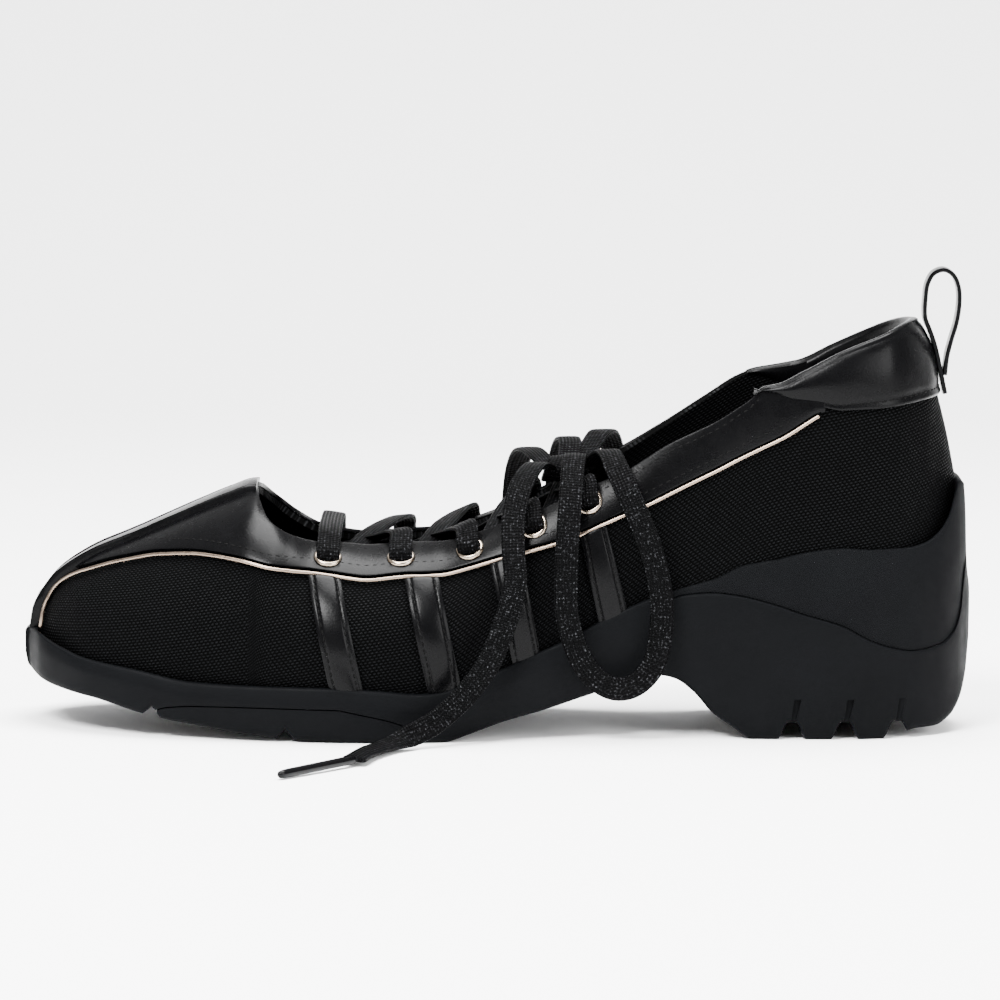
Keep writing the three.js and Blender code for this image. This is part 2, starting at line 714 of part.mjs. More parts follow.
// The strip lies on the vamp overlay along the ridge and runs down to the bumper at the toe
function centreStrip() {
  const inner = overlayTop + CLEARANCE;
  const shell = lastForm(inner + STRIP_THICKNESS, 0, CUP_DEPTH / 2).subtract(lastForm(inner, 0, CUP_DEPTH));
  const half = STRIP_WIDTH / 2;
  const toeHalf = STRIP_TOE_WIDTH / 2;
  const ridge = section(FIRST).ridge;
  const end = section(throatStart).ridge;
  const foot = rim(FIRST) + CLEARANCE;
  const plan = new THREE.Shape([
    new THREE.Vector2(-FAR, ridge - toeHalf),
    new THREE.Vector2(FIRST, ridge - toeHalf),
    new THREE.Vector2(throatStart, end - half),
    new THREE.Vector2(throatStart, end + half),
    new THREE.Vector2(FIRST, ridge + toeHalf),
    new THREE.Vector2(-FAR, ridge + toeHalf),
  ]);
  const block = new THREE.ExtrudeGeometry(plan, { depth: FAR, bevelEnabled: false });
  block.translate(0, 0, foot);
  return shell.intersect(solid(block)).subtract(mouthCut);
}

function collarCuff() {
  const shell = lastForm(CLEARANCE + CUFF_THICKNESS, 0, CUP_DEPTH / 2).subtract(overlaySkin);
  const regions = SIDES.map(([side]) => sidePrism(cuffOutline(0), side));
  return shell.intersect(regions[0].add(regions[1])).subtract(mouthCut);
}

// A tube along a path, its section a polygon
function tube(points, diameter, sides, steps) {
  const ring = [];
  for (let i = 0; i < sides; i += 1) {
    const angle = (2 * Math.PI * i) / sides;
    ring.push(new THREE.Vector2(Math.cos(angle), Math.sin(angle)).multiplyScalar(diameter / 2));
  }
  const path = new THREE.CatmullRomCurve3(points, false, "centripetal");
  return solid(new THREE.ExtrudeGeometry(new THREE.Shape(ring), { steps, extrudePath: path, bevelEnabled: false }));
}

function pipingCord(side) {
  return tube(pipingLine(side), PIPING_DIAMETER, PIPING_SIDES, PIPING_STEPS);
}

// Side strap number i: part of the overlay's shell between piping and sole rim
function sideStrap(i, side) {
  const [top, topBack, foot, footBack] = STRAPS.rows[i].map((share) => share * SHOE_LENGTH);
  const band = (x) => rim(x) + CLEARANCE;
  const lean = (upperX, lowerX, z) => {
    const high = piping(upperX);
    return lowerX + ((upperX - lowerX) * (z - rim(lowerX))) / (high - rim(lowerX));
  };
  const low = rim(foot) - CUP_DEPTH;
  const high = piping(top) + CUP_DEPTH;
  const outline = [
    [lean(top, foot, low), low],
    [lean(topBack, footBack, low), low],
    [lean(topBack, footBack, high), high],
    [lean(top, foot, high), high],
  ];
  const from = top - CUP_DEPTH;
  const to = footBack + CUP_DEPTH;
  return overlayShell
    .intersect(sidePrism(outline, side))
    .intersect(belowPiping(side, -pipingReach))
    .subtract(below(RIM, band, from, to, side));
}

// Sole
const SOLE_STATIONS = [
  0, 0.003, 0.008, 0.019, 0.038, 0.06, 0.09, 0.132, 0.189, 0.25, 0.34, 0.415, 0.445, 0.472, 0.506, 0.551,
  0.608, 0.66, 0.672, 0.687, 0.706, 0.726, 0.749, 0.766, 0.8, 0.857, 0.906, 0.925, 0.94, 0.951, 0.962, 0.974,
  0.981, 0.985, 0.991, 0.994, 0.996, 1,
].map((share) => share * SHOE_LENGTH);

// The sole as one block from its plan outline, drawn in all round by an inset
function soleForm(inset) {
  const rings = SOLE_STATIONS.map((x) => {
    const low = underside(x);
    const high = rim(x);
    const bevel = Math.min(SOLE_BEVEL, (high - low) / 4);
    const side = (s) => {
      const half = soleHalf(x, s) - inset;
      return [
        [half - SOLE_FLARE - bevel / 2, low],
        [half - SOLE_FLARE, low + bevel],
        [half, (low + 2 * high) / 3],
        [half - LEDGE, high],
      ].map(([y, z]) => new THREE.Vector3(x, s * y, z));
    };
    return [...side(LATERAL), ...side(MEDIAL).reverse()];
  });
  return loft(rings);
}

const cup = lastForm(CLEARANCE, 0);
const soleBlock = soleForm(0).subtract(cup);
const waveStart = WAVE.rows[0][0] * SHOE_LENGTH;
const grooveStart = GROOVE.rows[0][0] * SHOE_LENGTH;
const grooveEnd = GROOVE.rows[GROOVE.rows.length - 1][0] * SHOE_LENGTH;

// Block above the wave-shaped ledge, raised by a gap
function aboveWave(gap) {
  const edge = samples(WAVE, waveStart, SHOE_LENGTH).map((x) => [x, wave(x) + gap]);
  return prism([...edge, [FAR, wave(SHOE_LENGTH) + gap], [FAR, FAR], [waveStart, FAR]], -FAR, FAR);
}

// Block below the groove over the forefoot tread, raised by a gap
function belowGroove(gap) {
  const edge = samples(GROOVE, grooveStart, grooveEnd).map((x) => [x, groove(x) + gap]);
  const outline = [[grooveStart - gap, -FAR], [grooveEnd + gap, -FAR], ...edge.reverse()];
  outline[outline.length - 1][0] -= gap;
  return prism(outline, -FAR, FAR);
}

// Grooves across the bottom between the lugs, and the slots above those of the heel
function lugGrooves() {
  const foot = NOTCH_WIDTH / 2;
  const top = NOTCH_TOP_WIDTH / 2;
  const heel = HEEL_NOTCHES.map((at) => {
    const x = at * SHOE_LENGTH;
    const roof = [[x + top, NOTCH_HEIGHT], [x - top, NOTCH_HEIGHT]];
    return [[x - foot, -FAR], [x + foot, -FAR], [x + foot, 0], ...roof, [x - foot, 0]];
  });
  const tread = TREAD_NOTCHES.map((at) => {
    const x = at * SHOE_LENGTH;
    const floor = underside(x) - PAST;
    const roof = [x, underside(x) + TREAD_NOTCH_HEIGHT];
    return [[x - foot, -FAR], [x + foot, -FAR], [x + foot, floor], roof, [x - foot, floor]];
  });
  return [...heel, ...tread].map((outline) => prism(outline, -FAR, FAR)).reduce((all, cut) => all.add(cut));
}

function sideSlots() {
  const low = NOTCH_HEIGHT - PAST;
  const foot = SLOT_WIDTH / 2;
  const top = SLOT_TOP_WIDTH / 2;
  const slots = HEEL_NOTCHES.flatMap((at) => {
    const x = at * SHOE_LENGTH;
    const head = x + SLOT_LEAN;
    const outline = [[x - foot, low], [x + foot, low], [head + top, SLOT_HEIGHT], [head - top, SLOT_HEIGHT]];
    const lateral = prism(outline, -FAR, SLOT_DEPTH - soleHalf(x, LATERAL));
    const medial = prism(outline, soleHalf(x, MEDIAL) - SLOT_DEPTH, FAR);
    return [lateral, medial];
  });
  return slots.reduce((all, cut) => all.add(cut));
}

const grooves = lugGrooves();

function midsole() {
  return soleBlock.subtract(aboveWave(0)).subtract(belowGroove(CLEARANCE)).subtract(grooves).subtract(sideSlots());
}

function heelCradle() {
  return soleForm(LEDGE).subtract(cup).intersect(aboveWave(CLEARANCE));
}

function forefootTread() {
  return soleBlock.intersect(belowGroove(0)).subtract(grooves);
}

// The insole lies on the sole inside the upper
function insole() {
  const gap = 2 * CLEARANCE;
  const to = INSOLE_END * SHOE_LENGTH;
  const top = samples(FOOTBED, 0, to).map((x) => [x, footbed(x) + gap + INSOLE_THICKNESS]);
  const slab = prism([[0, -FAR], [to, -FAR], ...top.reverse()], -FAR, FAR);
  return lastForm(-UPPER_WALL - gap, gap).intersect(slab);
}

// A flat strip along a path, with the way its face looks given at each point
function strip(points, faces, width, thickness) {
  const rings = points.map((point, i) => {
    const before = points[Math.max(i - 1, 0)];
    const after = points[Math.min(i + 1, points.length - 1)];
    const along = after.clone().sub(before).normalize();
    const across = along.clone().cross(faces[i]).normalize().multiplyScalar(width / 2);
    const face = across.clone().cross(along).normalize().multiplyScalar(thickness / 2);
    return [
      point.clone().add(across).add(face),
      point.clone().sub(across).add(face),
      point.clone().sub(across).sub(face),
      point.clone().add(across).sub(face),
    ];
  });
  const body = loft(rings);
  return body.volume() > 0 ? body : loft(rings.map((ring) => ring.reverse()));
}

const laceLift = overlayTop + CLEARANCE + LACE_THICKNESS / 2;
const overEyelet = laceLift + EYELET_SEAT + EYELET_FLANGE + 2 * CLEARANCE;

// The lace end that comes over the topline and lies on an eyelet, from the middle of the throat
function overEdge(at, side) {
  const x = at * SHOE_LENGTH;
  const place = eyeletPlace(at, side);
  const edgeTurn = turnAt(x, topline(x, side), side);
  const edge = skin(x, edgeTurn);
  const edgeNormal = skinNormal(x, edgeTurn);
  return [
    { point: edge.clone().addScaledVector(edgeNormal, overEyelet + LACE_THICKNESS), face: edgeNormal },
    { point: place.point.clone().addScaledVector(place.normal, overEyelet), face: place.normal },
  ];
}

const throatMiddle = (at) => {
  const x = at * SHOE_LENGTH;
  const rise = (topline(x, LATERAL) + topline(x, MEDIAL)) / 2;
  return new THREE.Vector3(x, 0, rise);
};

function laceBar() {
  const at = EYELETS[0];
  const lateral = overEdge(at, LATERAL);
  const medial = overEdge(at, MEDIAL);
  const middle = throatMiddle(at);
  middle.y = (lateral[0].point.y + medial[0].point.y) / 2;
  middle.z += overEyelet + LACE_ARCH;
  const spots = [lateral[1], lateral[0], { point: middle, face: new THREE.Vector3(0, 0, 1) }, medial[0], medial[1]];
  return strip(spots.map((s) => s.point), spots.map((s) => s.face), LACE_WIDTH, LACE_THICKNESS);
}

// One strand starts inside the near topline and ends on the next eyelet of the far side
function laceStrand(i, side) {
  const near = EYELETS[i];
  const far = EYELETS[i + 1];
  const x = (near + STRAND_START * (far - near)) * SHOE_LENGTH;
  const edge = skin(x, turnAt(x, topline(x, side), side));
  const start = edge.clone().setY(edge.y - side * STRAND_REACH);
  const end = overEdge(far, -side);
  const middle = start.clone().add(end[0].point).multiplyScalar(0.5);
  middle.z += STRAND_RISE;
  const up = new THREE.Vector3(0, 0, 1);
  const spots = [{ point: start, face: up }, { point: middle, face: up }, ...end];
  return strip(spots.map((s) => s.point), spots.map((s) => s.face), LACE_WIDTH, LACE_THICKNESS);
}

const laceCrossing = (i) => laceStrand(i, LATERAL).add(laceStrand(i, MEDIAL));

// The knot of the bow: a core between two lumps of wound lace, in shares of the knot's size
const KNOT_LUMPS = [
  { along: 0, across: 0, size: 0.86 },
  { along: -0.2, across: 0.05, size: 0.6 },
  { along: 0.2, across: -0.05, size: 0.6 },
];

function laceKnot() {
  const [x, y, z] = KNOT;
  const lumps = KNOT_LUMPS.map(({ along, across, size }) => {
    const ball = new THREE.SphereGeometry(0.5, CORD_SIDES, PIPING_SIDES);
    ball.scale(KNOT_LENGTH * size, KNOT_WIDTH * size, KNOT_HEIGHT);
    ball.translate(x + along * KNOT_LENGTH, y + across * KNOT_WIDTH, z);
    return solid(ball);
  });
  return lumps.reduce((all, lump) => all.add(lump));
}

const CORD_STEP = 3; // steps of a free lace, in cord diameters
const vector = (p) => new THREE.Vector3(...p);

function freeLace(route) {
  const points = route.map(vector);
  const length = new THREE.CatmullRomCurve3(points, false, "centripetal").getLength();
  return tube(points, LACE_CORD, CORD_SIDES, Math.round(length / (CORD_STEP * LACE_CORD)));
}

function aglet([from, to]) {
  const start = vector(from);
  const run = vector(to).sub(start);
  const radius = AGLET_DIAMETER / 2;
  const rod = new THREE.CylinderGeometry(radius, radius, run.length() - AGLET_GAP, ROD_SIDES);
  rod.translate(0, (run.length() + AGLET_GAP) / 2, 0);
  return stand(rod, { point: start, normal: run.clone().normalize() }, 0);
}

// The pull loop: one leg up the cuff's back, over the top and down to itself
function pullLoop() {
  const seat = CLEARANCE + CUFF_THICKNESS + CLEARANCE + PULL_THICKNESS / 2;
  const leg = PULL_LEG.map((at) => offsetSkin(at * SHOE_LENGTH, 0, seat));
  const head = leg[leg.length - 1].clone();
  const loopAt = (row) => head.clone().add(new THREE.Vector3(row[1] * PULL_DEPTH, 0, row[2] * PULL_HEIGHT));
  const bend = PULL.rows.map(loopAt);
  const crest = 4;
  const front = [...leg, ...bend.slice(0, crest)];
  const rear = bend.slice(crest - 1);
  const band = (points) => {
    const faces = points.map((p, i) => {
      const before = points[Math.max(i - 1, 0)];
      const after = points[Math.min(i + 1, points.length - 1)];
      return after.clone().sub(before).cross(UP).normalize();
    });
    return strip(points, faces, PULL_WIDTH, PULL_THICKNESS);
  };
  return band(front).add(band(rear));
}

const shoe = new THREE.Group();
shoe.position.x = -SHOE_LENGTH / 2;

function place(name, body, material) {
  const { numProp, vertProperties, triVerts } = body.getMesh();
  const geometry = new THREE.BufferGeometry();
  const positions = [];
  for (let i = 0; i < vertProperties.length; i += numProp) {
    positions.push(vertProperties[i], vertProperties[i + 1], vertProperties[i + 2]);
  }
  geometry.setAttribute("position", new THREE.Float32BufferAttribute(positions, 3));
  geometry.setIndex([...triVerts]);
  geometry.computeVertexNormals();
  const mesh = new THREE.Mesh(geometry, material);
  mesh.name = name;
  shoe.add(mesh);
}

place("upper", upper(), MATERIALS.mesh);
place("midsole", midsole(), MATERIALS.rubber);
place("heel_cradle", heelCradle(), MATERIALS.rubber);
place("forefoot_tread", forefootTread(), MATERIALS.rubber);
place("insole", insole(), MATERIALS.lining);
place("vamp_overlay", vampOverlay(), MATERIALS.leather);
place("toe_centre_strip", centreStrip(), MATERIALS.leather);
place("collar_cuff", collarCuff(), MATERIALS.leather);
SIDES.forEach(([side, name]) => {
  place(`piping_${name}`, pipingCord(side), MATERIALS.piping);
  STRAPS.rows.forEach((row, i) => place(`side_strap_${name}_${i + 1}`, sideStrap(i, side), MATERIALS.leather));
  EYELETS.forEach((at, i) => place(`eyelet_${name}_${i + 1}`, eyelet(at, side), MATERIALS.eyelet));
});
place("lace_bar", laceBar(), MATERIALS.lace);
EYELETS.slice(1).forEach((at, i) => place(`lace_crossing_${i + 1}`, laceCrossing(i), MATERIALS.lace));

place("pull_loop", pullLoop(), MATERIALS.leather);
place("lace_knot", laceKnot(), MATERIALS.lace);
place("lace_loop_lateral", freeLace(LOOP_LATERAL), MATERIALS.lace);
place("lace_loop_medial", freeLace(LOOP_MEDIAL), MATERIALS.lace);
place("lace_end_lateral", freeLace(END_LATERAL), MATERIALS.lace);
place("lace_end_medial", freeLace(END_MEDIAL), MATERIALS.lace);
place("aglet_lateral", aglet(AGLET_LATERAL), MATERIALS.aglet);
place("aglet_medial", aglet(AGLET_MEDIAL), MATERIALS.aglet);

export default shoe;
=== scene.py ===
"""Heeled sneaker for the left foot: fine pieces in place of the plain solids of the frame.

Shapes are worked out in millimetres from the toe tip and stored in metres in the row frame.
"""

import logging
from dataclasses import dataclass
from enum import IntEnum
from typing import Callable, Optional, Sequence

import bpy
import numpy as np
from mathutils import Matrix, Vector


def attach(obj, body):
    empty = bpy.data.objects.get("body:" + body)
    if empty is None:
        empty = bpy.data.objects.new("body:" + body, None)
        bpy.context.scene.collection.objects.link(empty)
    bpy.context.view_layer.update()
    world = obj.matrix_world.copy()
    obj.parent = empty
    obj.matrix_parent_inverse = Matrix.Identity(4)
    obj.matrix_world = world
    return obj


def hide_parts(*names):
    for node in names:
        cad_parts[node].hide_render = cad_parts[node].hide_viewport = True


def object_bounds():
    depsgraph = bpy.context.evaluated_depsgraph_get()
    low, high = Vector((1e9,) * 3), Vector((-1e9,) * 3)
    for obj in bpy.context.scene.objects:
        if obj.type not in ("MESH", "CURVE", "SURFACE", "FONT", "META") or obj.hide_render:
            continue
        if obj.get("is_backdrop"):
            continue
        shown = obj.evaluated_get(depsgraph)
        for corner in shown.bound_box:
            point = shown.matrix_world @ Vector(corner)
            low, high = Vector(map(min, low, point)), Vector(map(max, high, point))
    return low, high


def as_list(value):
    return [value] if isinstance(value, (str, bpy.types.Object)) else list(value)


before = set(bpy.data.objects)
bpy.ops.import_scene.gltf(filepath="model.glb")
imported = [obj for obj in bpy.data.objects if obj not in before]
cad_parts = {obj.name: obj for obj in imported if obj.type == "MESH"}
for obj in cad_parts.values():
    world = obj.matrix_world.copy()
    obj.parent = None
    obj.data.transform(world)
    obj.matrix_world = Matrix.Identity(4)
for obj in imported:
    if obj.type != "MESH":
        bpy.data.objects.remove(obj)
CAD_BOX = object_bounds()
LOG = logging.getLogger("heeled_sneaker")

Array = np.ndarray
Place = Callable[[Array, Array], Array]

# Driving sizes, as in the part's source
SHOE_LENGTH = 265.0
BALL_WIDTH = 90.0
HEEL_RISE = 45.5
COLLAR_HEIGHT = 69.5
BALL_THICKNESS = 10.5
TOE_SPRING = 12.0
CUP_DEPTH = 8.5
SOLE_FLARE = 1.5
LEDGE = 1.0
TUCK = 0.06
UPPER_WALL = 1.8
CLEARANCE = 0.3
OVERLAY_TOP = 1.3
STRIP_WIDTH = 24.0
STRIP_TOE_WIDTH = 13.5
PIPING_DIAMETER = 1.5
CUFF_THICKNESS = 1.6
EYELET_EDGE = 3.4
NOTCH_HEIGHT = 4.7
LACE_WIDTH = 6.5
LACE_THICKNESS = 1.3
LOW = 0.8


class Side(IntEnum):
    """The sides of a left shoe, by the sign of their Y."""

    LATERAL = -1
    MEDIAL = 1


LATERAL, MEDIAL = Side.LATERAL, Side.MEDIAL
SIDES = {side: side.name.lower() for side in Side}


class Table:
    """Named columns, one row per section, read by a smooth curve."""

    def __init__(self, columns: str, rows: Sequence[Sequence[float]]) -> None:
        """Stores the rows and works out the curve's slopes.

        Args:
            columns: Names of the columns, with spaces between them.
            rows: Sections in order; the first column is the place along the shoe.
        """
        self.columns = columns.split()
        self.rows = np.array(rows, float)
        at = self.rows[:, :1]
        rise = np.diff(self.rows, axis=0) / np.diff(at, axis=0)
        before, after = rise[:-1], rise[1:]
        total = np.where(before * after > 0, before + after, 1)
        inner = np.where(before * after > 0, 2 * before * after / total, 0)
        self.slopes = np.vstack([rise[:1], inner, rise[-1:]])

    def read(self, name: str, x: Array) -> Array:
        """Reads a column.

        Args:
            name: The column's name.
            x: Places along the shoe in millimetres from the toe tip.

        Returns:
            The column's values there.
        """
        at = np.clip(np.asarray(x, float) / SHOE_LENGTH, self.rows[0, 0], self.rows[-1, 0])
        c = self.columns.index(name)
        i = np.clip(np.searchsorted(self.rows[:, 0], at, side="left") - 1, 0, len(self.rows) - 2)
        width = self.rows[i + 1, 0] - self.rows[i, 0]
        t = (at - self.rows[i, 0]) / width
        value = self.rows[i, c] * (2 * t**3 - 3 * t**2 + 1) + self.rows[i + 1, c] * (3 * t**2 - 2 * t**3)
        value += self.slopes[i, c] * width * (t**3 - 2 * t**2 + t)
        return value + self.slopes[i + 1, c] * width * (t**3 - t**2)


FOOTBED = Table("at spring climb", [
    (0, 0.79, 0), (0.038, 0.46, 0), (0.075, 0.33, 0), (0.132, 0.21, 0), (0.226, 0.125, 0),
    (0.32, 0.11, 0), (0.377, 0.04, 0), (0.415, 0, 0), (0.442, 0, 0.014), (0.468, 0, 0.066),
    (0.506, 0, 0.17), (0.566, 0, 0.343), (0.608, 0, 0.486), (0.649, 0, 0.614),
    (0.683, 0, 0.714), (0.725, 0, 0.814), (0.758, 0, 0.886), (0.789, 0, 0.929),
    (0.819, 0, 0.957), (0.891, 0, 0.986), (1, 0, 1),
])
LAST = Table("at outer inner ridge base widest crown", [
    (0.015, -0.011, 0.111, 0.067, 0.003, 0.06, 0.13),
    (0.02, 0.039, 0.167, 0.066, 0.002, 0.075, 0.235),
    (0.026, 0.083, 0.206, 0.066, 0, 0.086, 0.27), (0.033, 0.122, 0.233, 0.065, 0, 0.098, 0.317),
    (0.045, 0.172, 0.272, 0.064, 0, 0.112, 0.372),
    (0.062, 0.233, 0.317, 0.063, 0, 0.122, 0.425), (0.08, 0.272, 0.348, 0.061, 0, 0.13, 0.472),
    (0.11, 0.321, 0.386, 0.058, 0, 0.143, 0.533), (0.155, 0.376, 0.424, 0.054, 0, 0.155, 0.622),
    (0.189, 0.406, 0.443, 0.05, 0, 0.161, 0.688), (0.223, 0.433, 0.46, 0.046, 0, 0.166, 0.748),
    (0.244, 0.449, 0.471, 0.042, 0, 0.168, 0.776), (0.264, 0.461, 0.476, 0.037, 0, 0.171, 0.76),
    (0.283, 0.469, 0.476, 0.032, 0, 0.173, 0.706), (0.309, 0.479, 0.477, 0.025, 0, 0.177, 0.64),
    (0.347, 0.483, 0.477, 0.016, 0, 0.188, 0.623), (0.415, 0.47, 0.444, 0.007, 0, 0.229, 0.646),
    (0.502, 0.415, 0.377, 0, 0, 0.211, 0.71), (0.547, 0.388, 0.339, 0, 0, 0.218, 0.775),
    (0.608, 0.357, 0.311, 0, 0, 0.235, 0.84), (0.679, 0.337, 0.307, 0, 0, 0.271, 1.13),
    (0.774, 0.336, 0.324, 0, 0, 0.296, 1.68), (0.849, 0.331, 0.324, 0, 0, 0.312, 1.61),
    (0.898, 0.312, 0.309, 0, 0, 0.326, 1.45), (0.917, 0.292, 0.291, 0, 0, 0.335, 1.25),
    (0.93, 0.267, 0.267, 0, 0, 0.343, 1.09), (0.939, 0.243, 0.243, 0, 0, 0.348, 0.991),
    (0.95, 0.212, 0.212, 0, 0.002, 0.353, 0.879), (0.962, 0.165, 0.165, 0, 0.02, 0.354, 0.72),
    (0.974, 0.11, 0.11, 0, 0.11, 0.348, 0.54), (0.982, 0.05, 0.05, 0, 0.27, 0.339, 0.39),
])
TOPLINE = Table("at lateral medial", [
    (0.244, 0.795, 0.795), (0.249, 0.739, 0.76), (0.26, 0.667, 0.71), (0.285, 0.606, 0.635),
    (0.317, 0.575, 0.581), (0.358, 0.574, 0.56), (0.415, 0.597, 0.591), (0.491, 0.595, 0.591),
    (0.566, 0.607, 0.626), (0.626, 0.616, 0.645), (0.679, 0.663, 0.684), (0.725, 0.697, 0.741),
    (0.76, 0.747, 0.786), (0.776, 0.786, 0.796), (0.792, 0.79, 0.797), (0.817, 0.825, 0.803),
    (0.858, 0.894, 0.864), (0.898, 0.946, 0.929), (0.931, 0.992, 0.982), (0.945, 1, 1),
])
PIPING = Table("at height", [
    (0.021, 0.13), (0.0225, 0.188), (0.026, 0.235), (0.036, 0.31), (0.053, 0.37), (0.072, 0.41),
    (0.106, 0.465), (0.151, 0.515), (0.196, 0.535), (0.23, 0.527), (0.264, 0.5), (0.309, 0.477),
    (0.358, 0.462), (0.415, 0.488), (0.474, 0.484), (0.528, 0.47), (0.59, 0.452), (0.652, 0.46),
    (0.715, 0.498), (0.794, 0.578), (0.833, 0.655),
])
CUFF = Table("at height", [
    (0.766, 0.798), (0.787, 0.762), (0.807, 0.721), (0.838, 0.689), (0.858, 0.671),
    (0.888, 0.671), (0.918, 0.68), (0.968, 0.707),
])
SOLE = Table("at outer inner", [
    (0, -0.022, 0.111), (0.008, 0.05, 0.172), (0.019, 0.133, 0.244), (0.038, 0.206, 0.306),
    (0.075, 0.3, 0.378), (0.132, 0.383, 0.439), (0.189, 0.433, 0.467), (0.264, 0.478, 0.494),
    (0.34, 0.5, 0.5), (0.415, 0.489, 0.461), (0.491, 0.444, 0.406), (0.566, 0.4, 0.35),
    (0.642, 0.367, 0.328), (0.717, 0.356, 0.333), (0.792, 0.361, 0.35), (0.868, 0.356, 0.35),
    (0.925, 0.311, 0.311), (0.962, 0.239, 0.239), (0.985, 0.156, 0.156), (0.996, 0.078, 0.078),
    (1, 0.033, 0.033),
])
RIM = Table("at height", [
    (0, 0.649), (0.004, 0.78), (0.015, 0.92), (0.026, 0.9), (0.045, 0.822), (0.068, 0.706),
    (0.121, 0.633), (0.185, 0.411), (0.275, 0.399), (0.37, 0.412), (0.415, 0.365),
    (0.438, 0.355), (0.46, 0.402), (0.506, 0.418), (0.528, 0.499), (0.566, 0.529),
    (0.608, 0.634), (0.649, 0.707), (0.683, 0.672), (0.726, 0.642), (0.758, 0.822),
    (0.789, 0.822), (0.819, 0.93), (0.857, 1.006), (0.892, 0.915), (0.928, 0.916),
    (0.947, 1.024), (0.962, 1.312), (0.974, 1.836), (0.981, 2.574), (0.985, 2.95),
    (0.991, 2.828), (0.994, 1.826), (0.996, 0.178), (1, -0.647),
])
UNDERSIDE = Table("at spring arch", [
    (0, 1.625, 0), (0.003, 1.325, 0), (0.011, 1.175, 0), (0.026, 1.033, 0), (0.049, 0.917, 0),
    (0.083, 0.792, 0), (0.128, 0.542, 0), (0.158, 0.425, 0), (0.189, 0.317, 0),
    (0.234, 0.158, 0), (0.264, 0.104, 0), (0.294, 0.042, 0), (0.332, 0, 0), (0.445, 0, 0),
    (0.472, 0, 0.044), (0.506, 0, 0.114), (0.551, 0, 0.185), (0.592, 0, 0.262), (0.66, 0, 0.38),
    (0.672, 0, 0.385), (0.687, 0, 0.365), (0.706, 0, 0.286), (0.726, 0, 0.156),
    (0.749, 0, 0.064), (0.766, 0, 0), (0.906, 0, 0), (0.94, 0, 0.051), (0.96, 0, 0.055),
    (0.977, 0, 0.101), (0.989, 0, 0.198), (0.996, 0, 0.33), (1, 0, 0.527),
])
WAVE = Table("at height", [
    (0.664, 0.72), (0.675, 0.835), (0.7, 0.885), (0.725, 0.895), (0.747, 0.884), (0.787, 0.831),
    (0.819, 0.769), (0.86, 0.697), (0.892, 0.6), (0.912, 0.56), (0.936, 0.534), (0.965, 0.558),
    (0.981, 0.629), (0.989, 0.754), (0.992, 0.941), (0.996, 1.099),
])
GROOVE = Table("at height", [
    (0.145, 0.724), (0.155, 0.8), (0.185, 0.876), (0.242, 0.895), (0.332, 0.876),
    (0.361, 0.743), (0.384, 0.619), (0.406, 0.429), (0.426, 0),
])
STRAPS = Table("at top_back foot_front foot_back", [
    (0.303, 0.338, 0.328, 0.363), (0.404, 0.44, 0.43, 0.463), (0.493, 0.526, 0.517, 0.545),
    (0.587, 0.614, 0.606, 0.636),
])
PULL = Table("along back up", [
    (0, 0, 0.41), (0.1, 0.06, 0.71), (0.2, 0.23, 0.92), (0.3, 0.53, 1), (0.4, 0.8, 0.9),
    (0.5, 0.96, 0.67), (0.6, 1, 0.34), (0.7, 0.93, -0.07), (0.8, 0.78, -0.45),
    (0.9, 0.66, -0.8), (1, 0.6, -1.19),
])


EYELETS = (0.323, 0.4, 0.473, 0.539, 0.596)
HEEL_NOTCHES = (0.809, 0.8645, 0.9195)
TREAD_NOTCHES = (0.141, 0.281)
FIRST = LAST.rows[0, 0] * SHOE_LENGTH
FINAL = LAST.rows[-1, 0] * SHOE_LENGTH
THROAT = TOPLINE.rows[0, 0] * SHOE_LENGTH


def footbed(x: Array) -> Array:
    """Returns the height of the footbed at x."""
    climb = FOOTBED.read("climb", x) * (HEEL_RISE - BALL_THICKNESS)
    return BALL_THICKNESS + FOOTBED.read("spring", x) * TOE_SPRING + climb


def over_footbed(table: Table, column: str, x: Array, unit: float = COLLAR_HEIGHT) -> Array:
    """Returns the height of a line that a table gives over the footbed in shares of a size."""
    return footbed(x) + table.read(column, x) * unit


def topline(x: Array, side: int) -> Array:
    """Returns the height of the topline on one side at x."""
    return over_footbed(TOPLINE, SIDES[side], x)


def piping_height(x: Array) -> Array:
    """Returns the height of the piping's line at x."""
    return over_footbed(PIPING, "height", x)


def cuff_edge(x: Array) -> Array:
    """Returns the height of the cuff's lower edge at x."""
    return over_footbed(CUFF, "height", x)


def rim(x: Array) -> Array:
    """Returns the height of the sole's upper edge at x."""
    return over_footbed(RIM, "height", x, CUP_DEPTH)


def underside(x: Array) -> Array:
    """Returns the height of the sole's underside at x, without its notches."""
    return UNDERSIDE.read("spring", x) * TOE_SPRING + UNDERSIDE.read("arch", x) * HEEL_RISE


def sole_half(x: Array, side: int) -> Array:
    """Returns half the sole's width on one side at x."""
    return SOLE.read("outer" if side == LATERAL else "inner", x) * BALL_WIDTH


def last_halves(x: Array, side: Array) -> tuple[Array, Array, Array, Array, Array]:
    """Reads the last's sections.

    Args:
        x: Places from the toe tip.
        side: -1 for the outer side and 1 for the inner one, for each place.

    Returns:
        The ridge's Y, the half width, and the heights of base, widest level and crown.
    """
    ridge = LAST.read("ridge", x) * BALL_WIDTH
    outer = LAST.read("outer", x) * BALL_WIDTH + ridge
    inner = LAST.read("inner", x) * BALL_WIDTH - ridge
    base, widest, crown = (over_footbed(LAST, name, x) for name in ("base", "widest", "crown"))
    return ridge, np.where(side < 0, outer, inner), base, widest, crown


